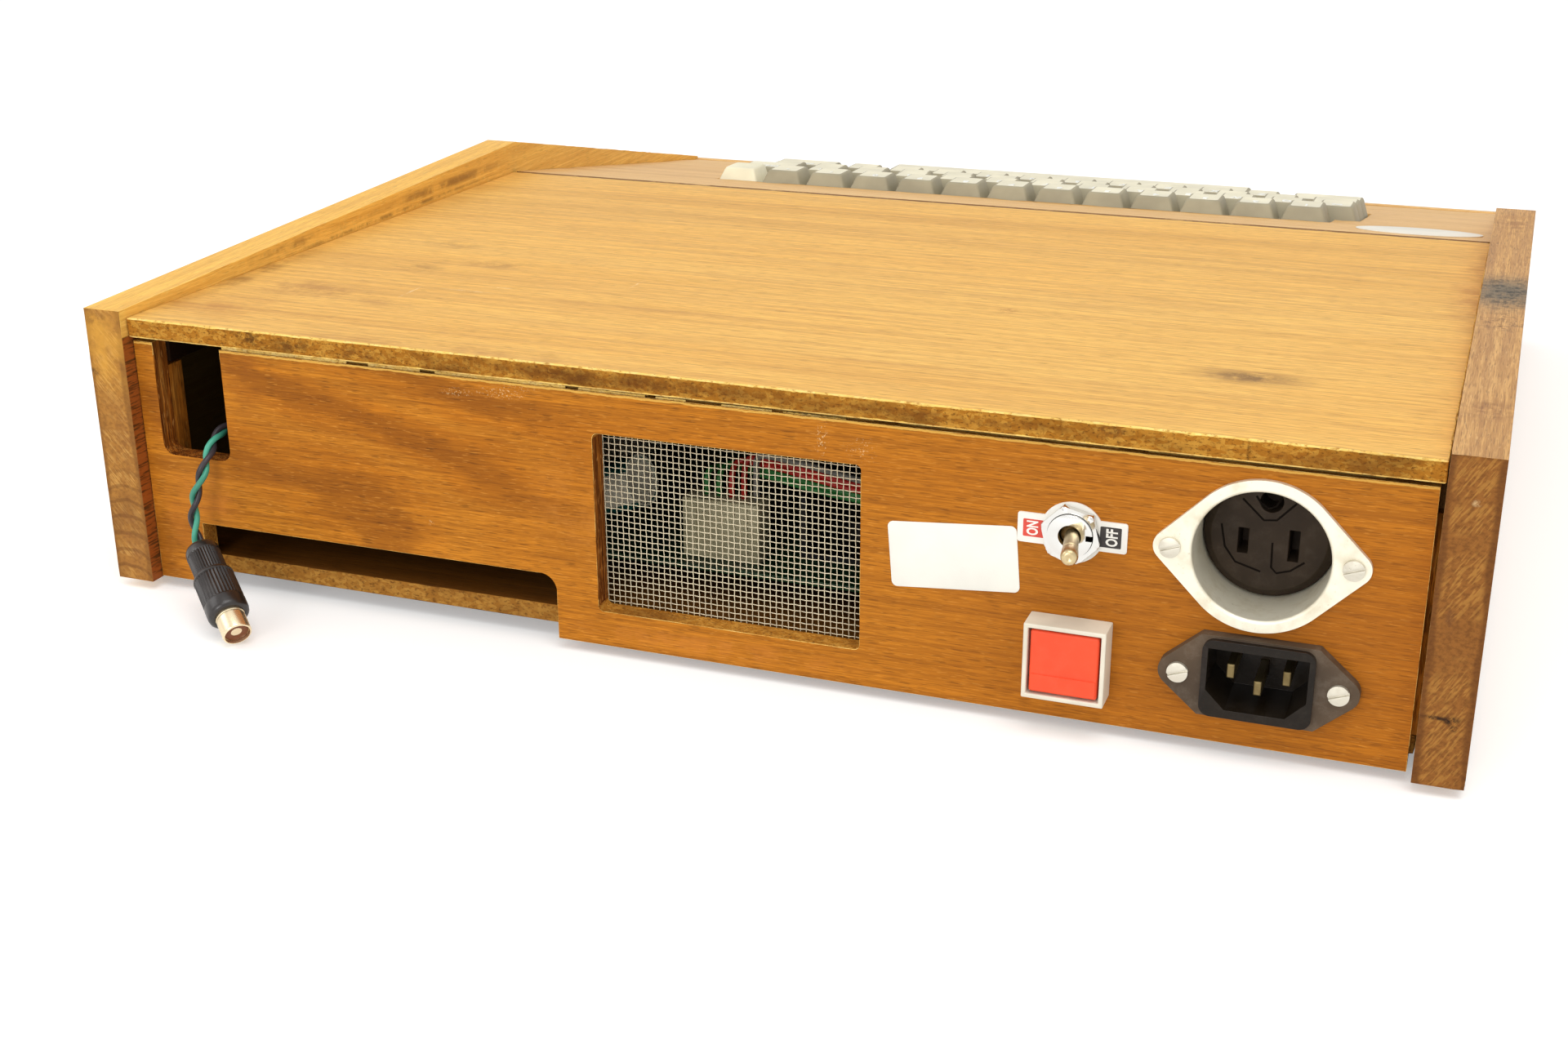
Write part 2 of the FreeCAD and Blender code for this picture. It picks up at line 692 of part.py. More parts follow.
def rear_panel():
    """Rear panel with the window, the notch, the cable slot and the fittings' holes."""
    panel = block(across(REAR_PANEL_LEFT_GAP), HALF_WIDTH - BOARD_SLIP, PANEL_BACK_Y, REAR_Y,
                  up(REAR_PANEL_LIFT), up(REAR_PANEL_TOP))
    middle = up((WINDOW_BOTTOM + WINDOW_TOP) / 2)
    window = panel_hole(across(WINDOW_LEFT), across(WINDOW_RIGHT), up(WINDOW_BOTTOM), up(WINDOW_TOP),
                        WINDOW_CORNER, lambda place: place.z > middle or place.z < middle)
    notch = panel_hole(across(NOTCH_LEFT), across(NOTCH_RIGHT), FOOT_HEIGHT - CUT, up(NOTCH_TOP),
                       NOTCH_CORNER, lambda place: place.z > up(0) and place.x < across(NOTCH_RIGHT) - CUT)
    slot = panel_hole(across(CABLE_SLOT_LEFT), across(CABLE_SLOT_RIGHT), up(CABLE_SLOT_BOTTOM),
                      up(REAR_PANEL_TOP) + CUT, CABLE_SLOT_CORNER,
                      lambda place: place.z < up(REAR_PANEL_TOP))
    for hole in (window, notch, slot):
        panel = panel.cut(hole)
    outlet = rod(V(across(OUTLET_X), PANEL_BACK_Y - CUT, up(OUTLET_Z)), V(0, 1, 0),
                 REAR_PANEL_THICK + 2 * CUT, OUTLET_CUP_RADIUS + OUTLET_CUP_WALL + PANEL_HOLE_SLIP)
    inlet = centred(across(INLET_X), up(INLET_Z), INLET_BODY_WIDTH + PANEL_HOLE_SLIP,
                    INLET_BODY_HEIGHT + PANEL_HOLE_SLIP, PANEL_BACK_Y - CUT, REAR_Y + CUT)
    switch = rod(V(across(SWITCH_X), PANEL_BACK_Y - CUT, up(SWITCH_Z)), V(0, 1, 0),
                 REAR_PANEL_THICK + 2 * CUT, BUSHING_RADIUS + PANEL_HOLE_SLIP)
    button = centred(across(BUTTON_X), up(BUTTON_Z), BUTTON_BODY_SIDE + PANEL_HOLE_SLIP,
                     BUTTON_BODY_SIDE + PANEL_HOLE_SLIP, PANEL_BACK_Y - CUT, REAR_Y + CUT)
    for hole in [outlet, inlet, switch, button] + flange_screw_holes():
        panel = panel.cut(hole)
    return panel


def seal_strips():
    """Foam strips on the rear panel's top edge, parted by short notches."""
    top = lid_top(REAR_Y) - LID_THICK - SEAT_GAP
    y1 = REAR_Y - SEAL_FRONT_INSET
    step = (SEAL_RIGHT - SEAL_LEFT) / SEAL_STRIPS
    strips = []
    for index in range(SEAL_STRIPS):
        x0 = across(SEAL_LEFT + index * step)
        strips.append(block(x0, x0 + step - SEAL_NOTCH, y1 - SEAL_DEPTH, y1, up(REAR_PANEL_TOP),
                            min(top, lid_top(y1 - SEAL_DEPTH) - LID_THICK - SEAT_GAP)))
    return group(strips)


# Mesh window


def vent_mesh():
    """Wire mesh sheet behind the window: a holed sheet of the weave's thickness."""
    x0 = across(WINDOW_LEFT)
    x1 = across(WINDOW_RIGHT)
    z0 = up(WINDOW_BOTTOM)
    z1 = up(WINDOW_TOP)
    y1 = PANEL_BACK_Y
    outline = [V(x0 - MESH_MARGIN, y1, z0 - MESH_FOOT), V(x1 + MESH_MARGIN, y1, z0 - MESH_FOOT),
               V(x1 + MESH_MARGIN, y1, z1 + MESH_MARGIN), V(x0 - MESH_MARGIN, y1, z1 + MESH_MARGIN)]
    wires = [Part.makePolygon(outline + outline[:1])]
    step_x = (x1 - x0) / MESH_COLUMNS
    step_z = (z1 - z0) / MESH_ROWS
    half = MESH_BAR / 2
    for column in range(MESH_COLUMNS):
        for row in range(MESH_ROWS):
            left = x0 + column * step_x + half
            right = x0 + (column + 1) * step_x - half
            low = z0 + row * step_z + half
            high = z0 + (row + 1) * step_z - half
            corners = [V(left, y1, low), V(right, y1, low), V(right, y1, high), V(left, y1, high)]
            wires.append(Part.makePolygon(corners + corners[:1]))
    face = Part.Face(wires, "Part::FaceMakerBullseye")
    return face.extrude(V(0, -MESH_THICK, 0))


def mesh_staples():
    """Staples that hold the mesh to the rear panel's inner face."""
    back = PANEL_BACK_Y - MESH_THICK
    middle = (across(WINDOW_LEFT) + across(WINDOW_RIGHT)) / 2
    left = across(WINDOW_LEFT) - STAPLE_EDGE
    right = across(WINDOW_RIGHT) + STAPLE_EDGE
    top = up(WINDOW_TOP) + STAPLE_EDGE
    low = up(WINDOW_BOTTOM) - STAPLE_DROP
    half = STAPLE_WIDTH / 2
    staples = []
    for x, z in ((left + half, top), (middle, top), (right - half, top), (left + half, low),
                 (middle, low), (right - half, low)):
        staples.append(block(x - half, x + half, back - STAPLE_WIRE, back, z, z + STAPLE_WIRE))
    return group(staples)


# Mains outlet


def eared_outline(centre, radius, ear_radius, span, y):
    """Face of a round plate drawn out to two ears, square to Y."""
    reach = span / 2
    cosine = (radius - ear_radius) / reach
    sine = math.sqrt(1 - cosine * cosine)

    def at(offset, size, share_x, share_z):
        return V(centre.x + offset + size * share_x, y, centre.z + size * share_z)

    right_top = at(0, radius, cosine, sine)
    left_top = at(0, radius, -cosine, sine)
    right_low = at(0, radius, cosine, -sine)
    left_low = at(0, radius, -cosine, -sine)
    ear_right_top = at(reach, ear_radius, cosine, sine)
    ear_right_low = at(reach, ear_radius, cosine, -sine)
    ear_left_top = at(-reach, ear_radius, -cosine, sine)
    ear_left_low = at(-reach, ear_radius, -cosine, -sine)
    edges = [
        Part.Arc(left_top, at(0, radius, 0, 1), right_top).toShape(),
        Part.LineSegment(right_top, ear_right_top).toShape(),
        Part.Arc(ear_right_top, at(reach, ear_radius, 1, 0), ear_right_low).toShape(),
        Part.LineSegment(ear_right_low, right_low).toShape(),
        Part.Arc(right_low, at(0, radius, 0, -1), left_low).toShape(),
        Part.LineSegment(left_low, ear_left_low).toShape(),
        Part.Arc(ear_left_low, at(-reach, ear_radius, -1, 0), ear_left_top).toShape(),
        Part.LineSegment(ear_left_top, left_top).toShape(),
    ]
    return Part.Face(Part.Wire(edges))


def outlet_centre():
    """Centre of the mains outlet on the rear panel's face."""
    return V(across(OUTLET_X), REAR_Y, up(OUTLET_Z))


def inlet_centre():
    """Centre of the mains inlet on the rear panel's face."""
    return V(across(INLET_X), REAR_Y, up(INLET_Z))


def outlet_flange():
    """Cast eared flange with the deep cup that the plug goes into."""
    centre = outlet_centre()
    plate = eared_outline(centre, OUTLET_FLANGE_RADIUS, OUTLET_EAR_RADIUS, OUTLET_SCREW_SPAN, REAR_Y)
    plate = plate.extrude(V(0, OUTLET_FLANGE_THICK, 0))
    start = V(centre.x, REAR_Y - OUTLET_CUP_DEPTH, centre.z)
    cup = rod(start, V(0, 1, 0), OUTLET_CUP_DEPTH, OUTLET_CUP_RADIUS + OUTLET_CUP_WALL)
    bore = rod(V(centre.x, REAR_Y - OUTLET_CUP_DEPTH - CUT, centre.z), V(0, 1, 0),
               OUTLET_CUP_DEPTH + OUTLET_FLANGE_THICK + 2 * CUT, OUTLET_CUP_RADIUS)
    flange = plate.fuse(cup).cut(bore)
    front = REAR_Y + OUTLET_FLANGE_THICK
    rim = [edge for edge in flange.Edges if is_circle(edge, OUTLET_CUP_RADIUS)
           and abs(edge.CenterOfMass.y - front) < TINY]
    flange = flange.makeFillet(OUTLET_LIP_ROUND, rim)
    for side in (-1, 1):
        hole = rod(V(centre.x + side * OUTLET_SCREW_SPAN / 2, REAR_Y - CUT, centre.z), V(0, 1, 0),
                   OUTLET_FLANGE_THICK + 2 * CUT, FLANGE_SCREW_RADIUS + PIN_FIT)
        flange = flange.cut(hole)
    return flange


def is_circle(edge, radius):
    """True for a round edge of a radius."""
    return edge.Curve.TypeId == "Part::GeomCircle" and abs(edge.Curve.Radius - radius) < TINY


def outlet_body():
    """Moulded receptacle inside the cup: two blade slots and a round earth hole."""
    centre = outlet_centre()
    face_y = REAR_Y - OUTLET_FACE_DEPTH
    body = rod(V(centre.x, face_y - OUTLET_BODY_LENGTH, centre.z), V(0, 1, 0), OUTLET_BODY_LENGTH,
               OUTLET_CUP_RADIUS - OUTLET_BODY_SLIP)
    rim = [edge for edge in body.Edges if is_round(edge) and abs(edge.CenterOfMass.y - face_y) < TINY]
    body = body.makeChamfer(OUTLET_BODY_CHAMFER, rim)
    for side, height in ((1, SLOT_HEIGHT_HOT), (-1, SLOT_HEIGHT_NEUTRAL)):
        body = body.cut(centred(centre.x + side * SLOT_PITCH / 2, centre.z - SLOT_DROP, SLOT_WIDTH, height,
                                face_y - SLOT_DEPTH, face_y + CUT))
    earth = rod(V(centre.x, face_y - SLOT_DEPTH, centre.z + GROUND_RISE), V(0, 1, 0), SLOT_DEPTH + CUT,
                GROUND_RADIUS)
    return body.cut(earth)


def is_round(edge):
    """True for a round edge of any radius."""
    return edge.Curve.TypeId == "Part::GeomCircle"


def flange_screw_places():
    """Screw centre and the flange thickness under each head."""
    outlet = outlet_centre()
    inlet = inlet_centre()
    places = []
    for centre, span, thick in ((outlet, OUTLET_SCREW_SPAN, OUTLET_FLANGE_THICK),
                                (inlet, INLET_SCREW_SPAN, INLET_FLANGE_THICK)):
        places.append([(V(centre.x + side * span / 2, REAR_Y, centre.z), thick) for side in (-1, 1)])
    return places


def flange_screw_holes():
    """Holes in the rear panel for the flange screws."""
    places = [place for pair in flange_screw_places() for place, thick in pair]
    return [rod(V(place.x, PANEL_BACK_Y - CUT, place.z), V(0, 1, 0), REAR_PANEL_THICK + 2 * CUT,
                FLANGE_SCREW_RADIUS + PIN_FIT) for place in places]


def flange_screws(pair):
    """Two slotted pan-head screws through a flange and the rear panel."""
    screws = []
    for place, thick in pair:
        head_y = REAR_Y + thick
        head = rod(V(place.x, head_y, place.z), V(0, 1, 0), FLANGE_SCREW_HEAD_HEIGHT,
                   FLANGE_SCREW_HEAD_RADIUS)
        shank = rod(V(place.x, head_y - FLANGE_SCREW_REACH, place.z), V(0, 1, 0), FLANGE_SCREW_REACH,
                    FLANGE_SCREW_RADIUS)
        top = head_y + FLANGE_SCREW_HEAD_HEIGHT
        slot = centred(place.x, place.z, 2 * FLANGE_SCREW_HEAD_RADIUS + CUT, SCREW_SLOT_WIDTH,
                       top - SCREW_SLOT_DEPTH, top + CUT)
        slot.rotate(place, V(0, 1, 0), SCREW_SLOT_TURN)
        screws.append(head.fuse(shank).removeSplitter().cut(slot))
    return group(screws)


# Mains inlet


def inlet_body():
    """Moulded inlet: eared flange, raised rim and the socket round its three pins."""
    centre = inlet_centre()
    plate = inlet_flange_face(centre).extrude(V(0, INLET_FLANGE_THICK, 0))
    rim_front = REAR_Y + INLET_FLANGE_THICK + INLET_RIM_PROUD
    rim = centred(centre.x, centre.z, 2 * (INLET_HALF_WIDTH - INLET_RIM_INSET),
                  2 * (INLET_HALF_HEIGHT - INLET_RIM_INSET), REAR_Y, rim_front)
    rim = rounded_along(rim, V(0, 1, 0), INLET_RIM_ROUND)
    body = centred(centre.x, centre.z, INLET_BODY_WIDTH, INLET_BODY_HEIGHT, REAR_Y - INLET_BODY_LENGTH,
                   REAR_Y)
    whole = plate.fuse(rim).fuse(body).cut(inlet_socket(centre, rim_front))
    for side in (-1, 1):
        whole = whole.cut(rod(V(centre.x + side * INLET_SCREW_SPAN / 2, REAR_Y - CUT, centre.z),
                              V(0, 1, 0), INLET_FLANGE_THICK + 2 * CUT, FLANGE_SCREW_RADIUS + PIN_FIT))
    for pin in inlet_pin_blocks(PIN_FIT):
        whole = whole.cut(pin)
    return whole


def inlet_flange_face(centre):
    """Six-sided flange face with rounded ear tips, square to Y."""
    def at(x, z):
        return V(centre.x + x, REAR_Y, centre.z + z)

    edges = []
    for side in (1, -1):
        top = at(side * INLET_HALF_WIDTH, side * INLET_HALF_HEIGHT)
        ear_top = at(side * INLET_EAR_SHOULDER, side * INLET_EAR_HALF)
        ear_low = at(side * INLET_EAR_SHOULDER, -side * INLET_EAR_HALF)
        low = at(side * INLET_HALF_WIDTH, -side * INLET_HALF_HEIGHT)
        next_top = at(-side * INLET_HALF_WIDTH, -side * INLET_HALF_HEIGHT)
        edges.append(Part.LineSegment(top, ear_top).toShape())
        edges.append(Part.Arc(ear_top, at(side * INLET_EAR_REACH, 0), ear_low).toShape())
        edges.append(Part.LineSegment(ear_low, low).toShape())
        edges.append(Part.LineSegment(low, next_top).toShape())
    return Part.Face(Part.Wire(edges))


def inlet_socket(centre, front):
    """Socket space: a rectangle whose two lower corners are cut off."""
    half = INLET_SOCKET_WIDTH / 2
    tall = INLET_SOCKET_HEIGHT / 2
    cut = INLET_SOCKET_CHAMFER
    outline = ((-half, tall), (half, tall), (half, cut - tall), (half - cut, -tall),
               (cut - half, -tall), (-half, cut - tall))
    points = [V(centre.x + x, front + CUT, centre.z + z) for x, z in outline]
    face = Part.Face(Part.makePolygon(points + points[:1]))
    return face.extrude(V(0, -INLET_SOCKET_DEPTH - CUT, 0))


def inlet_pin_blocks(clearance):
    """The three blades as plain blocks, grown by a clearance."""
    centre = inlet_centre()
    front = REAR_Y + INLET_FLANGE_THICK + INLET_RIM_PROUD - PIN_RECESS
    tail = REAR_Y - INLET_BODY_LENGTH - PIN_TAIL
    places = ((-PIN_SPACING / 2, PIN_RISE), (0, -PIN_EARTH_DROP), (PIN_SPACING / 2, PIN_RISE))
    return [centred(centre.x + x, centre.z + z, PIN_WIDTH + 2 * clearance, PIN_HEIGHT + 2 * clearance,
                    tail, front) for x, z in places]


def inlet_pins():
    """Three flat contact pins with softened tips."""
    pins = []
    for pin in inlet_pin_blocks(0):
        front = pin.BoundBox.YMax
        tip = [edge for edge in pin.Edges if abs(edge.CenterOfMass.y - front) < TINY]
        pins.append(pin.makeFillet(PIN_TIP_ROUND, tip))
    return group(pins)


# Toggle switch


def switch_centre():
    """Centre of the switch's bushing on the rear panel's face."""
    return V(across(SWITCH_X), REAR_Y, up(SWITCH_Z))


def switch_body():
    """Switch case behind the panel with its hollow bushing and solder tails."""
    centre = switch_centre()
    seat = PANEL_BACK_Y
    case = centred(centre.x, centre.z, SWITCH_BODY_WIDTH, SWITCH_BODY_HEIGHT, seat - SWITCH_BODY_LENGTH,
                   seat)
    front = REAR_Y + BUSHING_PROUD
    bushing = rod(V(centre.x, seat - CUT, centre.z), V(0, 1, 0), front - seat + CUT, BUSHING_RADIUS)
    body = case.fuse(bushing)
    inner_front = front - BUSHING_MOUTH
    floor = REAR_Y - PIVOT_DEPTH - LEVER_BALL_RADIUS - PIN_FIT
    bore = rod(V(centre.x, floor, centre.z), V(0, 1, 0), inner_front - floor, BUSHING_BORE)
    swing = math.tan(math.radians(LEVER_LEAN)) * (BUSHING_PROUD + PIVOT_DEPTH)
    mouth = Part.makeCone(BUSHING_BORE, LEVER_RADIUS + swing + STEM_SLIP, BUSHING_MOUTH + CUT,
                          V(centre.x, inner_front, centre.z), V(0, 1, 0))
    keyway = centred(centre.x - BUSHING_RADIUS + KEYWAY_DEPTH / 2, centre.z, KEYWAY_DEPTH, KEYWAY_WIDTH,
                     front - KEYWAY_LENGTH, front + CUT)
    pin_hole = pivot_rod(PIVOT_PIN_RADIUS + PIN_FIT, BUSHING_RADIUS + CUT)
    body = body.cut(bore).cut(mouth).cut(keyway).cut(pin_hole)
    back = seat - SWITCH_BODY_LENGTH
    for step in (-1, 0, 1):
        tail = centred(centre.x + step * SWITCH_TAIL_SPACING, centre.z, SWITCH_TAIL_THICK,
                       SWITCH_TAIL_WIDTH, back - SWITCH_TAIL_LENGTH, back + CUT)
        body = body.fuse(tail)
    return body


def pivot_rod(radius, reach):
    """Upright rod through the lever's pivot, as far up as down."""
    centre = switch_centre()
    return rod(V(centre.x, REAR_Y - PIVOT_DEPTH, centre.z - reach), V(0, 0, 1), 2 * reach, radius)


def switch_plate():
    """Round indicator plate with a tab on each side."""
    centre = switch_centre()
    disc = rod(centre, V(0, 1, 0), PLATE_THICK, PLATE_RADIUS)
    tabs = centred(centre.x, centre.z, PLATE_SPAN, PLATE_TAB_HEIGHT, REAR_Y, REAR_Y + PLATE_THICK)
    hole = rod(V(centre.x, REAR_Y - CUT, centre.z), V(0, 1, 0), PLATE_THICK + 2 * CUT,
               BUSHING_RADIUS + PIN_FIT)
    return disc.fuse(tabs).removeSplitter().cut(hole)


def switch_nut():
    """Hexagonal nut on the bushing."""
    centre = switch_centre()
    radius = NUT_ACROSS_FLATS / math.sqrt(3)
    y = REAR_Y + PLATE_THICK
    corners = []
    for index in range(HEX_SIDES):
        angle = 2 * index * math.pi / HEX_SIDES + math.radians(NUT_TURN)
        corners.append(V(centre.x + radius * math.cos(angle), y, centre.z + radius * math.sin(angle)))
    nut = Part.Face(Part.makePolygon(corners + corners[:1])).extrude(V(0, NUT_THICK, 0))
    dome = Part.makeCone(radius + NUT_THICK, radius - NUT_DOME, NUT_THICK, V(centre.x, y, centre.z),
                         V(0, 1, 0))
    hole = rod(V(centre.x, y - CUT, centre.z), V(0, 1, 0), NUT_THICK + 2 * CUT, BUSHING_RADIUS + PIN_FIT)
    return nut.common(dome).cut(hole)


def switch_lever():
    """Toggle lever with its pivot ball and cross pin, leaning to the off side."""
    centre = switch_centre()
    pivot = V(centre.x, REAR_Y - PIVOT_DEPTH, centre.z)
    length = (LEVER_REACH + PIVOT_DEPTH) / math.cos(math.radians(LEVER_LEAN))
    shank = rod(pivot, V(0, 1, 0), length, LEVER_RADIUS)
    tip = [edge for edge in shank.Edges if is_round(edge) and edge.CenterOfMass.y > REAR_Y]
    shank = shank.makeFillet(LEVER_TIP_ROUND, tip)
    ball = Part.makeSphere(LEVER_BALL_RADIUS, pivot)
    lever = shank.fuse(ball).fuse(pivot_rod(PIVOT_PIN_RADIUS, BUSHING_RADIUS - PIVOT_PIN_INSET))
    lever.rotate(pivot, V(0, 0, 1), LEVER_LEAN)
    return lever


# Reset push button


def button_centre():
    """Centre of the push button on the rear panel's face."""
    return V(across(BUTTON_X), REAR_Y, up(BUTTON_Z))


def button_bezel():
    """Square bezel that stands out of the panel round the cap."""
    centre = button_centre()
    front = REAR_Y + BEZEL_PROUD
    shell = centred(centre.x, centre.z, BEZEL_WIDTH, BEZEL_HEIGHT, REAR_Y, front)
    inside = centred(centre.x, centre.z, BEZEL_WIDTH - 2 * BEZEL_WALL, BEZEL_HEIGHT - 2 * BEZEL_WALL,
                     REAR_Y + BEZEL_FLOOR, front + CUT)
    hole = centred(centre.x, centre.z, CAP_STEM_SIDE + 2 * BUTTON_STEM_SLIP,
                   CAP_STEM_SIDE + 2 * BUTTON_STEM_SLIP, REAR_Y - CUT, REAR_Y + BEZEL_FLOOR + CUT)
    return shell.cut(inside).cut(hole)


def button_body():
    """Contact block behind the bezel, with the well that the stem slides in."""
    centre = button_centre()
    block_shape = centred(centre.x, centre.z, BUTTON_BODY_SIDE, BUTTON_BODY_SIDE,
                          REAR_Y - BUTTON_BODY_LENGTH, REAR_Y)
    side = CAP_STEM_SIDE + 2 * BUTTON_STEM_SLIP
    depth = BUTTON_STEM_REACH + BUTTON_TRAVEL + STEM_END_GAP
    well = centred(centre.x, centre.z, side, side, REAR_Y - depth, REAR_Y + CUT)
    return block_shape.cut(well)


def button_cap():
    """Square push cap with its sliding stem."""
    centre = button_centre()
    front = REAR_Y + BEZEL_PROUD - CAP_INSET
    gap = BEZEL_WALL + CAP_MARGIN
    cap = centred(centre.x, centre.z, BEZEL_WIDTH - 2 * gap, BEZEL_HEIGHT - 2 * gap, front - CAP_THICK,
                  front)
    edges = [edge for edge in cap.Edges if edge.CenterOfMass.y > front - CAP_THICK + TINY]
    cap = cap.makeFillet(CAP_EDGE_ROUND, edges)
    stem = centred(centre.x, centre.z, CAP_STEM_SIDE, CAP_STEM_SIDE, REAR_Y - BUTTON_STEM_REACH,
                   front - CAP_THICK + TINY)
    return cap.fuse(stem)


# Label and badge


def blank_label():
    """Blank paper label on the rear panel, stuck on a little askew."""
    x = across(LABEL_CENTRE_X)
    z = up(LABEL_CENTRE_Z)
    paper = centred(x, z, LABEL_WIDTH, LABEL_HEIGHT, REAR_Y, REAR_Y + LABEL_THICK)
    paper = rounded_along(paper, V(0, 1, 0), LABEL_CORNER)
    paper.rotate(V(x, REAR_Y, z), V(0, 1, 0), LABEL_LEAN)
    return paper


def blank_badge():
    """Blank oval badge at the keyboard panel's left rear corner."""
    centre = V(across(BADGE_CENTRE_X), -BADGE_SETBACK, 0)
    oval = Part.Ellipse(centre, BADGE_LENGTH / 2, BADGE_WIDTH / 2)
    badge = Part.Face(Part.Wire([oval.toShape()])).extrude(V(0, 0, BADGE_THICK))
    badge.Placement = KEY_PLANE
    return badge


# Keyboard


def row_front(index):
    """Lower edge of a key row's cell in the keyboard plane, counted from the rear."""
    return -KEYS_SETBACK - (index + 1) * KEY_PITCH


def row_keys():
    """Every key as (node, centre x, centre y, width) in the keyboard plane."""
    keys = []
    for index, (offset, parts) in enumerate(KEY_ROW_SHARES):
        x = across(KEYS_LEFT + offset * KEY_PITCH)
        y = row_front(index) + KEY_PITCH / 2
        for node, count, share in parts:
            width = share * KEY_PITCH
            for number in range(count):
                keys.append((node, x + width / 2, y, width))
                x += width
    return keys


def key_row_spans():
    """Space that each row's caps fill at their lower edge."""
    margin = (KEY_PITCH - CAP_BASE) / 2
    keys = row_keys()
    spans = []
    for y in sorted({key[2] for key in keys}):
        row = [key for key in keys if key[2] == y]
        x0 = min(x - width / 2 for node, x, place, width in row) + margin
        x1 = max(x + width / 2 for node, x, place, width in row) - margin
        spans.append((x0, x1, y - CAP_BASE / 2, y + CAP_BASE / 2))
    return spans


def flat_rectangle(width, depth, z):
    """Rectangular wire about the Z axis."""
    corners = [V(-width / 2, -depth / 2, z), V(width / 2, -depth / 2, z), V(width / 2, depth / 2, z),
               V(-width / 2, depth / 2, z)]
    return Part.makePolygon(corners + corners[:1])


def stem_offsets(width):
    """Places of the stems under a cap: a long bar also has two guides."""
    if width > 2 * SPACE_GUIDE_OFFSET:
        return (-SPACE_GUIDE_OFFSET, 0, SPACE_GUIDE_OFFSET)
    return (0,)


def key_cap(width):
    """Hollow keycap with a dished top and its sliding stem, about its own centre."""
    base = width - (KEY_PITCH - CAP_BASE)
    top = base - (CAP_BASE - CAP_TOP)
    outer = Part.makeLoft([flat_rectangle(base, CAP_BASE, -CAP_SUNK),
                           flat_rectangle(top, CAP_TOP_DEPTH, CAP_STAND)], True, True)
    flanks = [edge for edge in outer.Edges if abs(edge.BoundBox.ZLength - CAP_STAND - CAP_SUNK) < TINY]
    outer = outer.makeFillet(CAP_CORNER, flanks)
    if len(stem_offsets(width)) == 1:
        chord = top / 2 - CAP_DISH_FLAT
        radius = (chord * chord + CAP_DISH * CAP_DISH) / (2 * CAP_DISH)
        dish = rod(V(0, -CAP_BASE, CAP_STAND + radius - CAP_DISH), V(0, 1, 0), 2 * CAP_BASE, radius)
        outer = outer.cut(dish)
    roof = CAP_STAND - CAP_DISH - CAP_WALL
    inner = Part.makeLoft([flat_rectangle(base - 2 * CAP_WALL, CAP_BASE - 2 * CAP_WALL, -CAP_SUNK - TINY),
                           flat_rectangle(top - CAP_WALL, CAP_TOP_DEPTH - CAP_WALL, roof)], True, True)
    cap = outer.cut(inner)
    for x in stem_offsets(width):
        half = STEM_SIDE / 2
        cap = cap.fuse(block(x - half, x + half, -half, half, STEM_END, roof + TINY))
    return cap


def key_nodes():
    """Every key node with its caps in place."""
    patterns = {}
    nodes = {}
    for node, x, y, width in row_keys():
        if width not in patterns:
            patterns[width] = key_cap(width)
        cap = patterns[width].copy()
        cap.translate(V(x, y, 0))
        cap = cap.transformGeometry(KEY_PLANE.toMatrix())
        nodes.setdefault(node, []).append(cap)
    return nodes


def key_switches():
    """Switch housings, one under every stem."""
    housings = []
    half = HOUSING_SIDE / 2
    well = STEM_SIDE / 2 + STEM_SLIP
    for node, x, y, width in row_keys():
        for offset in stem_offsets(width):
            centre = x + offset
            shell = block(centre - half, centre + half, y - half, y + half, KEY_BOARD_TOP, HOUSING_TOP)
            shell = shell.cut(block(centre - well, centre + well, y - well, y + well,
                                    KEY_BOARD_TOP - CUT, HOUSING_TOP + CUT))
            shell.Placement = KEY_PLANE
            housings.append(shell)
    return group(housings)


def key_field():
    """Left, right, front and rear limits of all key rows."""
    spans = key_row_spans()
    return (min(span[0] for span in spans), max(span[1] for span in spans),
            min(span[2] for span in spans), max(span[3] for span in spans))


def key_board():
    """Circuit board that carries the key switches."""
    x0, x1, y0, y1 = key_field()
    side = KEY_GAP + SPACER_GAP + SPACER_WIDTH
    board = block(x0 - side, x1 + side, y0 - KEY_BOARD_MARGIN, y1 + KEY_BOARD_MARGIN,
                  KEY_BOARD_TOP - KEY_BOARD_THICK, KEY_BOARD_TOP)
    board.Placement = KEY_PLANE
    return board


def key_board_spacers():
    """Two timber spacers that hang the key board under the keyboard panel."""
    x0, x1, y0, y1 = key_field()
    gap = KEY_GAP + SPACER_GAP
    spacers = []
    for left in (x0 - gap - SPACER_WIDTH, x1 + gap):
        spacer = block(left, left + SPACER_WIDTH, y0, y1, KEY_BOARD_TOP, -KEY_PANEL_THICK)
        spacer.Placement = KEY_PLANE
        spacers.append(spacer)
    return group(spacers)


# Logic board


def board_limits():
    """Left, right, front and rear limits of the logic board."""
    right = HALF_WIDTH - BOARD_RIGHT_GAP
    return right - BOARD_WIDTH, right, FRONT_Y + BOARD_FRONT_GAP, REAR_Y - BOARD_SETBACK


def chip_row_places():
    """Y of each chip row's rear edge, from the rear."""
    x0, x1, y0, y1 = board_limits()
    first = y1 - CHIPS_SETBACK
    steps = int((first - CHIP_WIDTH - CHIPS_FRONT_GAP - y0) / CHIP_ROW_PITCH)
    return [first - row * CHIP_ROW_PITCH for row in range(steps + 1)]


def logic_board():
    """Main circuit board on its standoffs."""
    x0, x1, y0, y1 = board_limits()
    return block(x0, x1, y0, y1, BOARD_TOP - BOARD_THICK, BOARD_TOP)


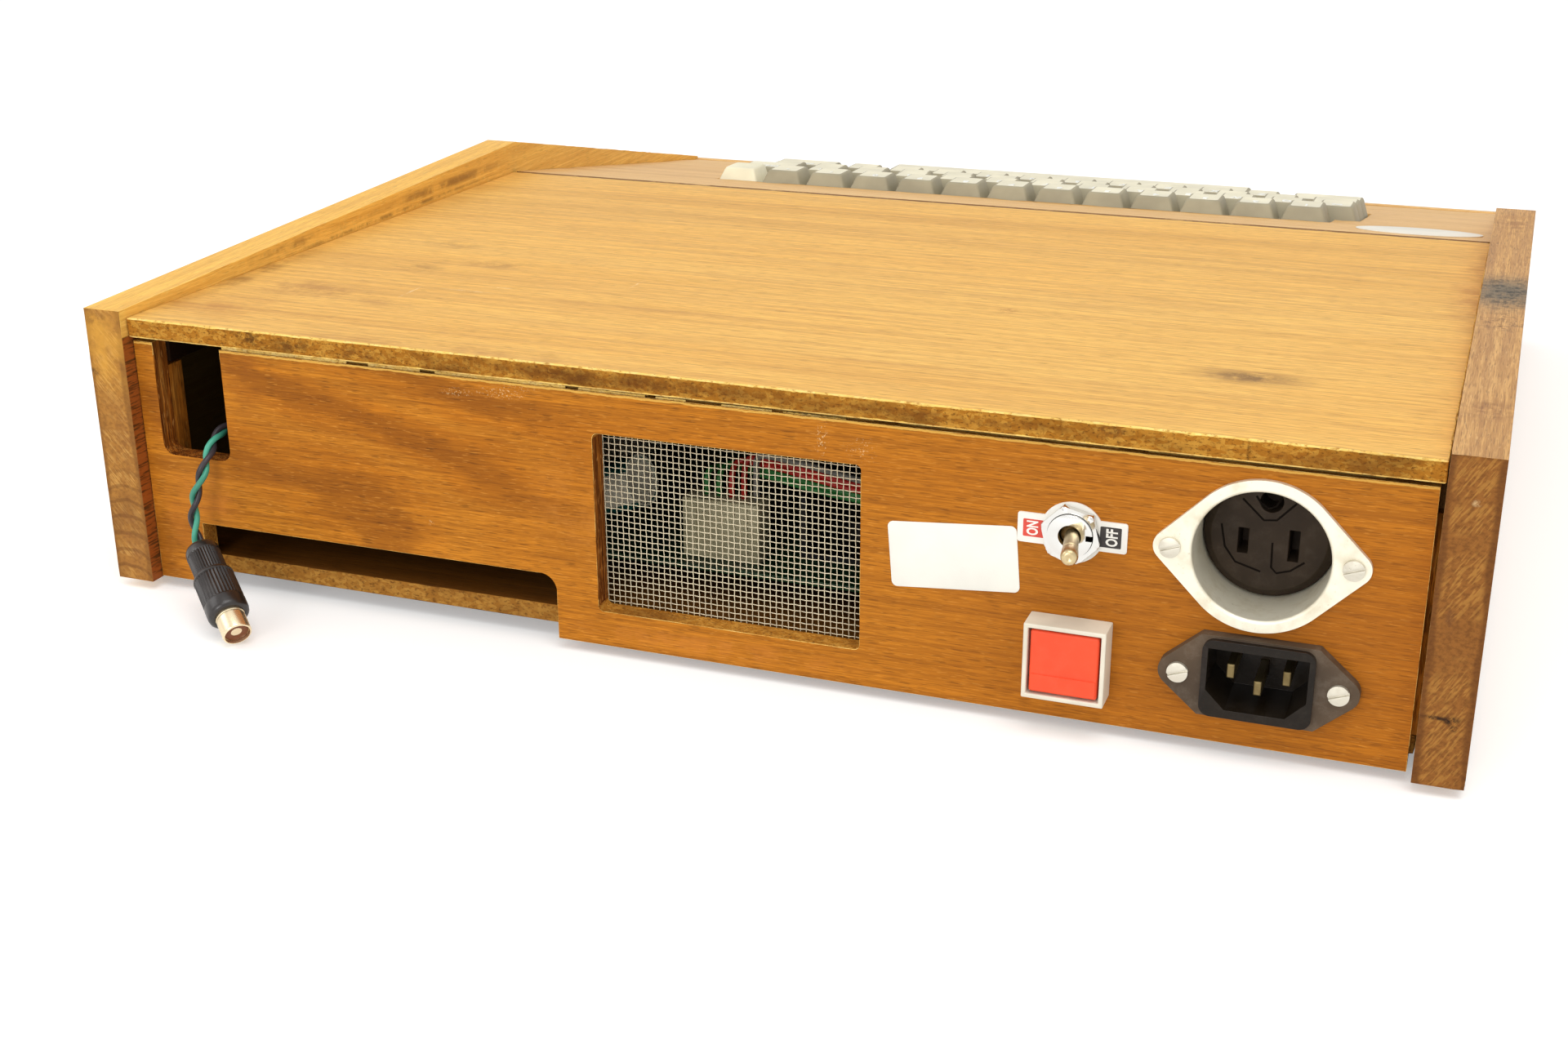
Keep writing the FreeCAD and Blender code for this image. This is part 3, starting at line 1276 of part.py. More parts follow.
def board_standoffs():
    """Round standoffs between the base board and the logic board."""
    x0, x1, y0, y1 = board_limits()
    posts = []
    step = (y1 - y0 - 2 * STANDOFF_INSET) / (STANDOFF_ROWS - 1)
    for x in (x0 + STANDOFF_INSET, x1 - STANDOFF_INSET):
        for row in range(STANDOFF_ROWS):
            posts.append(rod(V(x, y0 + STANDOFF_INSET + row * step, BASE_TOP), V(0, 0, 1),
                             STANDOFF_HEIGHT, STANDOFF_RADIUS))
    return group(posts)


def board_chips():
    """Rows of plain chips and one long processor."""
    x0, x1, y0, y1 = board_limits()
    chips = []
    step = (x1 - x0 - CHIPS_LEFT_INSET - CHIPS_RIGHT_INSET - CHIP_LENGTH) / (CHIP_COLUMNS - 1)
    for column in range(CHIP_COLUMNS):
        x = x0 + CHIPS_LEFT_INSET + column * step
        for y in chip_row_places():
            chips.append(block(x, x + CHIP_LENGTH, y - CHIP_WIDTH, y, BOARD_TOP, BOARD_TOP + CHIP_HEIGHT))
    x = x0 + PROCESSOR_LEFT_INSET
    y = y1 - PROCESSOR_SETBACK
    chips.append(block(x, x + PROCESSOR_LENGTH, y - PROCESSOR_WIDTH, y, BOARD_TOP,
                       BOARD_TOP + CHIP_HEIGHT))
    return group(chips)


def can(centre, direction, length, radius):
    """Capacitor can with a shallow rolled rim at its front end."""
    body = rod(centre, direction, length, radius)
    hollow = rod(centre - direction * CUT, direction, CUT + CAN_RIM / 2, radius - CAN_RIM)
    return body.cut(hollow)


def filter_capacitors():
    """One leaning axial can behind the window and two large cans lying beside it."""
    lean = math.radians(LEAN_CAN_ANGLE)
    turn = math.radians(LEAN_CAN_TURN)
    direction = V(math.cos(lean) * math.cos(turn), -math.cos(lean) * math.sin(turn), -math.sin(lean))
    height = BOARD_TOP + LEAN_CAN_RADIUS * math.cos(lean) + LEAN_CAN_LENGTH * math.sin(lean)
    cans = [can(V(across(LEAN_CAN_X), REAR_Y - LEAN_CAN_SETBACK, height), direction, LEAN_CAN_LENGTH,
                LEAN_CAN_RADIUS)]
    for index in range(CAN_COUNT):
        centre = V(across(CAN_FIRST_X + index * CAN_PITCH), REAR_Y - CAN_SETBACK, BOARD_TOP + CAN_RADIUS)
        cans.append(can(centre, V(0, -1, 0), CAN_LENGTH, CAN_RADIUS))
    return group(cans)


def heat_sink():
    """Bent plate heat sink with a round metal regulator on it."""
    x0 = board_limits()[0] + HEAT_SINK_INSET
    x1 = x0 + HEAT_SINK_WIDTH
    y1 = REAR_Y - HEAT_SINK_SETBACK
    y0 = y1 - HEAT_SINK_DEPTH
    top = BOARD_TOP + HEAT_SINK_HEIGHT
    plate = block(x0, x1, y0, y1, BOARD_TOP, top)
    plate = plate.cut(block(x0 + HEAT_SINK_THICK, x1 - HEAT_SINK_THICK, y0 - CUT, y1 + CUT,
                            BOARD_TOP + HEAT_SINK_THICK, top + CUT))
    regulator = rod(V((x0 + x1) / 2, (y0 + y1) / 2, BOARD_TOP + HEAT_SINK_THICK), V(0, 0, 1),
                    REGULATOR_HEIGHT, REGULATOR_RADIUS)
    return group([plate, regulator])


def power_plug():
    """Nylon housing of the power plug on the logic board."""
    x0 = across(PLUG_LEFT)
    y1 = REAR_Y - PLUG_SETBACK
    return block(x0, x0 + PLUG_WIDTH, y1 - PLUG_DEPTH, y1, BOARD_TOP, BOARD_TOP + PLUG_HEIGHT)


def socket_front():
    """Y of the keyboard socket's front face, just behind the last row of chips."""
    return chip_row_places()[-1] + SOCKET_CHIP_GAP


def board_headers():
    """Video header and keyboard socket on the logic board."""
    x = across(VIDEO_HEADER_X)
    y = REAR_Y - VIDEO_HEADER_SETBACK
    video = block(x - HEADER_LENGTH / 2, x + HEADER_LENGTH / 2, y, y + HEADER_DEPTH, BOARD_TOP,
                  BOARD_TOP + HEADER_HEIGHT)
    x = across(SOCKET_X)
    y = socket_front()
    keyboard = block(x - SOCKET_LENGTH / 2, x + SOCKET_LENGTH / 2, y, y + HEADER_DEPTH, BOARD_TOP,
                     BOARD_TOP + HEADER_HEIGHT / 2)
    return group([video, keyboard])


def keyboard_ribbon():
    """Flat ribbon from the key board's underside down to its socket."""
    x = across(SOCKET_X)
    y = socket_front() + HEADER_DEPTH / 2
    half = RIBBON_THICK / 2
    top_y = y - RIBBON_STEP
    top = key_panel_top(top_y) + (KEY_BOARD_TOP - KEY_BOARD_THICK) / math.cos(SLOPE)
    low = BOARD_TOP + HEADER_HEIGHT / 2
    outline = (
        (y - half, low),
        (y + half, low),
        (y + half, top - RIBBON_BEND_DROP),
        (top_y + half, top - half * math.tan(SLOPE) - RIBBON_THICK),
        (top_y + half, top + half * math.tan(SLOPE)),
        (top_y - half, top - half * math.tan(SLOPE)),
        (top_y - half, top - 2 * RIBBON_THICK),
        (y - half, top - RIBBON_BEND_DROP - RIBBON_THICK),
    )
    return side_prism(outline, x - RIBBON_WIDTH / 2, x + RIBBON_WIDTH / 2)


# Transformers


def transformer_centres():
    """Points on the base board under the two transformers."""
    first = REAR_Y - TRANSFORMER_SETBACK
    return [V(across(TRANSFORMER_X), first - index * TRANSFORMER_PITCH, BASE_TOP)
            for index in range(TRANSFORMER_COUNT)]


def transformer_cores():
    """Laminated cores with their fixing straps on the base board."""
    cores = []
    for centre in transformer_centres():
        x = centre.x
        y0 = centre.y - CORE_DEPTH / 2
        y1 = centre.y + CORE_DEPTH / 2
        low = centre.z + CORE_FOOT_THICK
        core = block(x - CORE_WIDTH / 2, x + CORE_WIDTH / 2, y0, y1, low, low + CORE_HEIGHT)
        outer = CORE_WIDTH / 2 - CORE_LIMB
        for x0, x1 in ((x - outer, x - CORE_LIMB), (x + CORE_LIMB, x + outer)):
            core = core.cut(block(x0, x1, y0 - CUT, y1 + CUT, low + CORE_LIMB,
                                  low + CORE_HEIGHT - CORE_LIMB))
        foot = block(x - CORE_FOOT_WIDTH / 2, x + CORE_FOOT_WIDTH / 2, y0 + CORE_LIMB / 2,
                     y1 - CORE_LIMB / 2, centre.z, low)
        cores.append(core.fuse(foot))
    return group(cores)


def transformer_coils():
    """Wound coils round the middle limb of each core."""
    coils = []
    for centre in transformer_centres():
        low = centre.z + CORE_FOOT_THICK + CORE_LIMB + COIL_GAP
        high = centre.z + CORE_FOOT_THICK + CORE_HEIGHT - CORE_LIMB - COIL_GAP
        outer = CORE_WIDTH / 2 - CORE_LIMB - COIL_GAP
        inner = CORE_LIMB + COIL_GAP
        reach = CORE_DEPTH / 2 + COIL_OVERHANG
        hole = CORE_DEPTH / 2 + COIL_GAP
        coil = block(centre.x - outer, centre.x + outer, centre.y - reach, centre.y + reach, low, high)
        coil = rounded_along(coil, V(0, 0, 1), COIL_OVERHANG / 2)
        coil = coil.cut(block(centre.x - inner, centre.x + inner, centre.y - hole, centre.y + hole,
                              low - CUT, high + CUT))
        coils.append(coil)
    return group(coils)


# Wires and the video lead


def route_edges(points, report):
    """Straight runs joined by tangent arcs, each as large as its two runs allow."""
    edges = []
    start = points[0]
    radii = []
    for before, corner, after in zip(points, points[1:], points[2:]):
        back = (before - corner).normalize()
        ahead = (after - corner).normalize()
        half_turn = (math.pi - back.getAngle(ahead)) / 2
        shorter = min((before - corner).Length, (after - corner).Length)
        trim = ARC_TRIM_SHARE * shorter
        radius = trim / math.tan(half_turn)
        radii.append(radius)
        first = corner + back * trim
        last = corner + ahead * trim
        to_centre = (back + ahead).normalize()
        centre = corner + to_centre * (radius / math.cos(half_turn))
        middle = centre - to_centre * radius
        edges.append(Part.LineSegment(start, first).toShape())
        edges.append(Part.Arc(first, middle, last).toShape())
        start = last
    edges.append(Part.LineSegment(start, points[-1]).toShape())
    if report:
        print("arc radii of the lead:", [round(radius, 1) for radius in radii])
    return edges


def tube(points, radius, report=False):
    """Round tube along a route."""
    edges = route_edges(points, report)
    path = Part.Wire(edges)
    ring = Part.Wire([Part.Circle(points[0], points[1] - points[0], radius).toShape()])
    solid = path.makePipeShell([ring], True, False)
    if report:
        ideal = math.pi * radius * radius * path.Length
        print("length", round(path.Length, 1), "volume", round(solid.Volume, 1), "expected", round(ideal, 1))
    return solid


def coil_face():
    """Distance of the first coil's rear face from the rear panel's outer face."""
    return CORE_DEPTH / 2 + COIL_OVERHANG - TRANSFORMER_SETBACK


def harness_wire(index):
    """One supply wire: up out of the plug, across, then forward to the first coil."""
    x = across(PLUG_LEFT) + PLUG_FIRST_WIRE + index * PLUG_PITCH
    y = REAR_Y - PLUG_SETBACK - PLUG_DEPTH / 2
    foot = BOARD_TOP + PLUG_HEIGHT
    lane = y - index * HARNESS_LANE_STEP
    level = foot + HARNESS_RISE - index * HARNESS_LEVEL_STEP
    end_x = across(TRANSFORMER_X) + (index - PLUG_WIRES // 2) * HARNESS_END_STEP
    end_y = REAR_Y + coil_face() + HARNESS_END_GAP
    points = [V(x, y, foot), V(x, y + TINY, foot + HARNESS_RISE / 2), V(x, lane, level)]
    points += [V(x - along, lane + drift, level - drop) for along, drift, drop in HARNESS_CROSSING]
    stops = (lane, (lane + end_y) / 2, end_y)
    points += [V(end_x + along, stop, level - drop) for (along, drop), stop in zip(HARNESS_LANDING, stops)]
    return tube(points, HARNESS_RADIUS)


def harness_wires():
    """The supply wires between the power plug and the first transformer."""
    return group([harness_wire(index) for index in range(PLUG_WIRES)])


def mains_wires():
    """Wires between the inlet, the switch, the outlet and the first transformer."""
    pin_end = -INLET_BODY_LENGTH - PIN_TAIL
    live = (INLET_X + PIN_SPACING / 2, pin_end, INLET_Z + PIN_RISE)
    neutral = (INLET_X - PIN_SPACING / 2, pin_end, INLET_Z + PIN_RISE)
    earth = (INLET_X, pin_end, INLET_Z - PIN_EARTH_DROP)
    tail_end = -REAR_PANEL_THICK - SWITCH_BODY_LENGTH - SWITCH_TAIL_LENGTH
    switch_in = (SWITCH_X - SWITCH_TAIL_SPACING, tail_end, SWITCH_Z)
    switch_out = (SWITCH_X, tail_end, SWITCH_Z)
    outlet = (OUTLET_X - MAINS_OUTLET_OFFSET, -OUTLET_FACE_DEPTH - OUTLET_BODY_LENGTH, OUTLET_Z)
    coil_ends = [(TRANSFORMER_X + offset, coil_face(), height)
                 for offset, height in zip(MAINS_COIL_OFFSETS, MAINS_COIL_HEIGHTS)]
    routes = (
        (live, *LIVE_BENDS, switch_in),
        (neutral, *NEUTRAL_BENDS, outlet),
        (switch_out, *SWITCHED_BENDS, coil_ends[0]),
        (earth, *EARTH_BENDS, coil_ends[1]),
    )
    return group([tube([spot(place) for place in route], MAINS_WIRE_RADIUS) for route in routes])


def lead_route():
    """The video lead's points in the part's frame."""
    return [spot(place) for place in LEAD_POINTS]


def jack_axis():
    """Start point and direction of the in-line jack at the lead's end."""
    start = lead_route()[-1]
    return start, (spot(JACK_TIP) - start).normalize()


def jack_body():
    """Two-step moulded jack with a neck, a groove and a seat for the sleeve."""
    start, axis = jack_axis()
    neck = rod(start, axis, JACK_NECK_LENGTH + TINY, JACK_NECK_RADIUS)
    rear_start = start + axis * JACK_NECK_LENGTH
    rear = rod(rear_start, axis, JACK_REAR_LENGTH, JACK_REAR_RADIUS)
    groove_start = rear_start + axis * (JACK_REAR_LENGTH - TINY)
    groove = rod(groove_start, axis, JACK_GROOVE_LENGTH + 2 * TINY, JACK_GROOVE_RADIUS)
    front_start = rear_start + axis * (JACK_REAR_LENGTH + JACK_GROOVE_LENGTH)
    front = rod(front_start, axis, JACK_FRONT_LENGTH, JACK_FRONT_RADIUS)
    front = front.makeChamfer(JACK_EDGE, [edge for edge in front.Edges if is_round(edge)])
    body = neck.fuse(rear).fuse(groove).fuse(front)
    seat = front_start + axis * (JACK_FRONT_LENGTH - JACK_SEAT)
    return body.cut(rod(seat, axis, JACK_SEAT + CUT, JACK_SLEEVE_RADIUS + PIN_FIT))


def jack_sleeve():
    """Plated contact sleeve with an insulating core and its centre hole."""
    start, axis = jack_axis()
    seat = start + axis * (JACK_NECK_LENGTH + JACK_REAR_LENGTH + JACK_GROOVE_LENGTH + JACK_FRONT_LENGTH
                           - JACK_SEAT)
    sleeve = rod(seat, axis, JACK_SEAT + JACK_SLEEVE_LENGTH, JACK_SLEEVE_RADIUS)
    end = seat + axis * (JACK_SEAT + JACK_SLEEVE_LENGTH)
    rim = rod(end - axis * JACK_RIM_DEPTH, axis, JACK_RIM_DEPTH + CUT, JACK_SLEEVE_RADIUS - JACK_SLEEVE_WALL)
    hole = rod(end - axis * JACK_CENTRE_DEPTH, axis, JACK_CENTRE_DEPTH + CUT, JACK_CENTRE_RADIUS)
    return sleeve.cut(rim).cut(hole)


def main():
    """Build every sub-part and write it."""
    os.makedirs("parts", exist_ok=True)
    left = cheek()
    save("left_cheek", left)
    save("right_cheek", left.mirror(V(0, 0, 0), V(1, 0, 0)))
    makers = {
        "glide_feet": glide_feet, "base_board": base_board, "case_screws": case_screws,
        "corner_battens": corner_battens, "side_cleats": side_cleats, "lid": lid,
        "key_panel": key_panel, "front_board": front_board, "front_rail": front_rail,
        "rear_panel": rear_panel, "seal_strips": seal_strips, "vent_mesh": vent_mesh,
        "mesh_staples": mesh_staples, "outlet_flange": outlet_flange, "outlet_body": outlet_body,
        "inlet_body": inlet_body, "inlet_pins": inlet_pins, "switch_body": switch_body,
        "switch_plate": switch_plate, "switch_nut": switch_nut, "switch_lever": switch_lever,
        "button_bezel": button_bezel, "button_body": button_body, "button_cap": button_cap,
        "blank_label": blank_label, "blank_badge": blank_badge, "key_switches": key_switches,
        "key_board": key_board, "key_board_spacers": key_board_spacers, "logic_board": logic_board,
        "board_standoffs": board_standoffs, "board_chips": board_chips,
        "filter_capacitors": filter_capacitors, "heat_sink": heat_sink, "power_plug": power_plug,
        "board_headers": board_headers, "keyboard_ribbon": keyboard_ribbon,
        "transformer_cores": transformer_cores, "transformer_coils": transformer_coils,
        "harness_wires": harness_wires, "mains_wires": mains_wires, "video_jack_body": jack_body,
        "video_jack_sleeve": jack_sleeve,
    }
    for name, maker in makers.items():
        save(name, maker())
    outlet_pair, inlet_pair = flange_screw_places()
    save("outlet_screws", flange_screws(outlet_pair))
    save("inlet_screws", flange_screws(inlet_pair))
    save("video_lead", tube(lead_route(), LEAD_RADIUS, True))
    for name, caps in key_nodes().items():
        save(name, group(caps))


main()
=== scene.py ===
"""Looks of a vintage home computer in a home-made wooden case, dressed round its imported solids."""

import logging
import math
from dataclasses import dataclass, field
from enum import Enum
from typing import Callable, Iterable, Sequence

import bmesh
import bpy
from mathutils import Matrix, Vector, noise


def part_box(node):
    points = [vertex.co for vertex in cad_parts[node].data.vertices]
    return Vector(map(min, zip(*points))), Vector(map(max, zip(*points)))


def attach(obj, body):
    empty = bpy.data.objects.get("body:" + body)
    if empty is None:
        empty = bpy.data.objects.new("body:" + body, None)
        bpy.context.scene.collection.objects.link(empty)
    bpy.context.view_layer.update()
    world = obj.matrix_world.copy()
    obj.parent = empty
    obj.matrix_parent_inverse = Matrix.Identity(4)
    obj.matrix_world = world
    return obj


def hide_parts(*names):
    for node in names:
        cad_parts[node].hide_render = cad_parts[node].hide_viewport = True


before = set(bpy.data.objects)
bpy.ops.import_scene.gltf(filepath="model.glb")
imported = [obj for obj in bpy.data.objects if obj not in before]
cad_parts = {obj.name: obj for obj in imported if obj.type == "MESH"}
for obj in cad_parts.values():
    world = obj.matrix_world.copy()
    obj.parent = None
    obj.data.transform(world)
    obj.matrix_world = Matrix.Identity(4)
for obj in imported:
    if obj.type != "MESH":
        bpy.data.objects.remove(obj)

LOG = logging.getLogger("home_computer")

Colour = tuple[float, float, float]
Place = tuple[float, float, float]
Socket = bpy.types.NodeSocket
Shape = bmesh.types.BMesh
Face = bmesh.types.BMFace
Ring = list[bmesh.types.BMVert]

MM = 0.001
SEED = 7
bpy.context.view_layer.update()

# Where the case lies in the frame: places are given in millimetres from the left cheek's inner
# face, from the rear panel's outer face and from the cheeks' lower edge.
LEFT_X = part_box("left_cheek")[1].x
REAR_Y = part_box("rear_panel")[1].y
LOW_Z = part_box("left_cheek")[0].z


def spot(x: float, y: float, z: float) -> Vector:
    """A point in the frame.

    Args:
        x: Millimetres from the left cheek's inner face.
        y: Millimetres from the rear panel's outer face.
        z: Millimetres above the cheeks' lower edge.

    Returns:
        The point in metres.
    """
    return Vector((LEFT_X + x * MM, REAR_Y + y * MM, LOW_Z + z * MM))


def linear(colour: Colour) -> tuple[float, float, float, float]:
    """A colour as seen, 0 to 255, as the shader's linear one.

    Args:
        colour: Red, green and blue from 0 to 255.

    Returns:
        Linear red, green, blue and alpha.
    """
    values = []
    for part in colour:
        share = part / 255
        values.append(share / 12.92 if share <= 0.04045 else ((share + 0.055) / 1.055) ** 2.4)
    return (values[0], values[1], values[2], 1.0)


class Axis(Enum):
    """A row axis that a grain or a brushing follows."""

    X = 0
    Y = 1
    Z = 2


class Nodes:
    """Short calls that build one material's node tree."""

    def __init__(self, name: str) -> None:
        """Start a material with its own shader.

        Args:
            name: The material's name.
        """
        self.material = bpy.data.materials.new(name)
        self.material.use_nodes = True
        self.tree = self.material.node_tree
        self.shader = next(node for node in self.tree.nodes if node.type == "BSDF_PRINCIPLED")
        coordinates = self.tree.nodes.new("ShaderNodeTexCoord")
        self.place = coordinates.outputs["Object"]

    def stretched(self, scales: Place, shift: Place = (0, 0, 0),
                  turn: Place = (0, 0, 0)) -> Socket:
        """Object coordinates turned, then scaled along each axis.

        Args:
            scales: Cells per metre along each axis.
            shift: Offset after scaling.
            turn: Degrees about each axis.

        Returns:
            The scaled vector.
        """
        place = self.place
        if any(turn):
            node = self.tree.nodes.new("ShaderNodeMapping")
            node.inputs["Rotation"].default_value = [math.radians(angle) for angle in turn]
            self.tree.links.new(place, node.inputs["Vector"])
            place = node.outputs["Vector"]
        node = self.tree.nodes.new("ShaderNodeMapping")
        node.inputs["Scale"].default_value = scales
        node.inputs["Location"].default_value = shift
        self.tree.links.new(place, node.inputs["Vector"])
        return node.outputs["Vector"]

    def times(self, first: Socket | float,
              second: Socket | float) -> Socket:
        """The product of two values.

        Args:
            first: A socket or a number.
            second: A socket or a number.

        Returns:
            The product.
        """
        return self.math("MULTIPLY", first, second)

    def noise(self, scales: Place, detail: float = 2, rough: float = 0.5, distortion: float = 0,
              shift: Place = (0, 0, 0), turn: Place = (0, 0, 0)) -> Socket:
        """Cloudy noise.

        Args:
            scales: Cells per metre along each axis.
            detail: Octaves.
            rough: Weight of the finer octaves.
            distortion: Warp of the cells.
            shift: Offset after scaling.
            turn: Degrees about each axis.

        Returns:
            The noise value, about 0 to 1.
        """
        node = self.tree.nodes.new("ShaderNodeTexNoise")
        node.inputs["Scale"].default_value = 1
        node.inputs["Detail"].default_value = detail
        node.inputs["Roughness"].default_value = rough
        node.inputs["Distortion"].default_value = distortion
        self.tree.links.new(self.stretched(scales, shift, turn), node.inputs["Vector"])
        return node.outputs[0]

    def cells(self, scales: Place, shift: Place = (0, 0, 0)) -> Socket:
        """Flat random cells, as in chips pressed together.

        Args:
            scales: Cells per metre along each axis.
            shift: Offset after scaling.

        Returns:
            A value for each cell.
        """
        node = self.tree.nodes.new("ShaderNodeTexVoronoi")
        node.inputs["Scale"].default_value = 1
        self.tree.links.new(self.stretched(scales, shift), node.inputs["Vector"])
        split = self.tree.nodes.new("ShaderNodeSeparateColor")
        self.tree.links.new(node.outputs["Color"], split.inputs[0])
        return split.outputs[0]

    def axis(self, which: Axis) -> Socket:
        """One part of the object coordinates.

        Args:
            which: The axis.

        Returns:
            That part.
        """
        node = self.tree.nodes.new("ShaderNodeSeparateXYZ")
        self.tree.links.new(self.place, node.inputs[0])
        return node.outputs[which.value]

    def step(self, value: Socket, low: float, high: float) -> Socket:
        """A smooth step from 0 at low to 1 at high.

        Args:
            value: The input.
            low: Where the step starts.
            high: Where it ends.

        Returns:
            The stepped value.
        """
        node = self.tree.nodes.new("ShaderNodeMapRange")
        node.interpolation_type = "SMOOTHSTEP"
        node.inputs["From Min"].default_value = low
        node.inputs["From Max"].default_value = high
        self.tree.links.new(value, node.inputs["Value"])
        return node.outputs["Result"]

    def math(self, operation: str, first: Socket | float,
             second: Socket | float = 0.0) -> Socket:
        """One arithmetic step.

        Args:
            operation: The math node's operation.
            first: A socket or a number.
            second: A socket or a number.

        Returns:
            The result.
        """
        node = self.tree.nodes.new("ShaderNodeMath")
        node.operation = operation
        for slot, value in zip(node.inputs, (first, second)):
            if isinstance(value, Socket):
                self.tree.links.new(value, slot)
            else:
                slot.default_value = value
        return node.outputs[0]

    def mix(self, share: Socket | float, first: Socket | Colour, second: Socket | Colour) -> Socket:
        """Blend two colours.

        Args:
            share: How much of the second.
            first: A socket, or a colour from 0 to 255.
            second: A socket, or a colour from 0 to 255.

        Returns:
            The blended colour.
        """
        node = self.tree.nodes.new("ShaderNodeMix")
        node.data_type = "RGBA"
        for slot, value in ((node.inputs[6], first), (node.inputs[7], second)):
            if isinstance(value, Socket):
                self.tree.links.new(value, slot)
            else:
                slot.default_value = linear(value)
        if isinstance(share, Socket):
            self.tree.links.new(share, node.inputs[0])
        else:
            node.inputs[0].default_value = share
        return node.outputs[2]

    def tint(self, under: Socket | Colour, over: Colour, value: Socket, low: float, high: float,
             strength: Socket | float) -> Socket:
        """Blend a colour in where a value passes a smooth step.

        Args:
            under: The colour so far.
            over: The colour to blend in.
            value: What the step reads.
            low: Where the step starts.
            high: Where it ends.
            strength: How much of the colour lies beyond the step.

        Returns:
            The blended colour.
        """
        return self.mix(self.times(self.step(value, low, high), strength), under, over)

    def finish(self, colour: Socket, rough: Socket | float,
               height: Socket | None = None, depth: float = 0.0,
               **fixed: float) -> bpy.types.Material:
        """Wire the results to the shader.

        Args:
            colour: Base colour.
            rough: Roughness socket or number.
            height: Bump height, or None.
            depth: Bump depth in metres.
            **fixed: Other shader inputs, with spaces written as underscores.

        Returns:
            The material.
        """
        self.tree.links.new(colour, self.shader.inputs["Base Color"])
        if isinstance(rough, Socket):
            self.tree.links.new(rough, self.shader.inputs["Roughness"])
        else:
            self.shader.inputs["Roughness"].default_value = rough
        if height is not None:
            bump = self.tree.nodes.new("ShaderNodeBump")
            bump.inputs["Strength"].default_value = 1.0
            bump.inputs["Distance"].default_value = depth
            self.tree.links.new(height, bump.inputs["Height"])
            self.tree.links.new(bump.outputs["Normal"], self.shader.inputs["Normal"])
        for name, value in fixed.items():
            self.shader.inputs[name.replace("_", " ")].default_value = value
        return self.material


@dataclass(frozen=True)
class Mark:
    """A smudge, stain or chip at one place of a surface, in millimetres."""

    at: Place
    reach: Place
    colour: Colour
    strength: float = 0.7
    grain: float = 300.0
    sparse: float = 0.0

    def paint(self, nodes: Nodes, under: Socket) -> Socket:
        """Lay the mark over a colour.

        Args:
            nodes: The material's nodes.
            under: The colour so far.

        Returns:
            The colour with the mark on it.
        """
        centre = spot(*self.at)
        scales = tuple(1 / (reach * MM) for reach in self.reach)
        shift = tuple(-part * scale for part, scale in zip(centre, scales))
        node = nodes.tree.nodes.new("ShaderNodeVectorMath")
        node.operation = "LENGTH"
        nodes.tree.links.new(nodes.stretched(scales, shift), node.inputs[0])
        near = nodes.step(node.outputs["Value"], 1.0, 0.15)
        ragged = nodes.noise((self.grain,) * 3, 4, 0.7)
        mask = nodes.times(near, nodes.step(ragged, 0.38 + self.sparse, 0.62 + 0.3 * self.sparse))
        return nodes.mix(nodes.times(mask, self.strength), under, self.colour)


class Finish:
    """A finish with one material, made at its first use."""

    name: str

    def material(self) -> bpy.types.Material:
        """The finish's material."""
        return bpy.data.materials.get(self.name) or self.make(Nodes(self.name))

    def make(self, nodes: Nodes) -> bpy.types.Material:
        """Build the material.

        Args:
            nodes: An empty node tree.

        Returns:
            The finished material.
        """
        raise NotImplementedError


@dataclass(frozen=True)
class Patch:
    """A box of a surface painted over in one colour, in millimetres: near-black painted shade on faces
    inside the case, or a strip with its own colour and saw lines.
    """

    low: Place
    high: Place
    # The default colour is the near-black painted shade of faces inside the closed case.
    colour: Colour = (20, 11, 5)
    strength: float = 0.92
    soft: float = 1.2
    lines: Place | None = None
    line_colour: Colour = (70, 26, 6)

    def paint(self, nodes: Nodes, under: Socket) -> Socket:
        """Lay the patch over a colour.

        Args:
            nodes: The material's nodes.
            under: The colour so far.

        Returns:
            The colour with the patch on it.
        """
        soft = self.soft * MM
        mask: Socket | float = self.strength
        for which, low, high in zip(Axis, spot(*self.low), spot(*self.high)):
            place = nodes.axis(which)
            mask = nodes.times(mask, nodes.step(place, low - soft, low))
            mask = nodes.times(mask, nodes.step(place, high + soft, high))
        top: Socket | Colour = self.colour
        if self.lines:
            saw = nodes.noise(self.lines, 3, 0.6)
            top = nodes.mix(nodes.step(saw, 0.52, 0.36), self.colour, self.line_colour)
        return nodes.mix(mask, under, top)


@dataclass(frozen=True)
class Seam:
    """A thin ragged line along X at one place in depth or height, in millimetres."""

    which: Axis
    at: float
    half: float
    colour: Colour
    strength: float = 0.9
    ragged: float = 0.6
    along: float = 120.0

    def paint(self, nodes: Nodes, under: Socket) -> Socket:
        """Draw the line over a colour.

        Args:
            nodes: The material's nodes.
            under: The colour so far.

        Returns:
            The colour with the line on it.
        """
        middle = spot(0, self.at, self.at)[self.which.value]
        warp = nodes.noise((self.along, 90, 90), 4, 0.7)
        shift = nodes.times(nodes.math("SUBTRACT", warp, 0.5), 4 * self.ragged * MM)
        off = nodes.math("SUBTRACT", nodes.axis(self.which), middle)
        off = nodes.math("ABSOLUTE", nodes.math("ADD", off, shift))
        mask = nodes.times(nodes.step(off, self.half * MM, 0.4 * self.half * MM), self.strength)
        return nodes.mix(mask, under, self.colour)


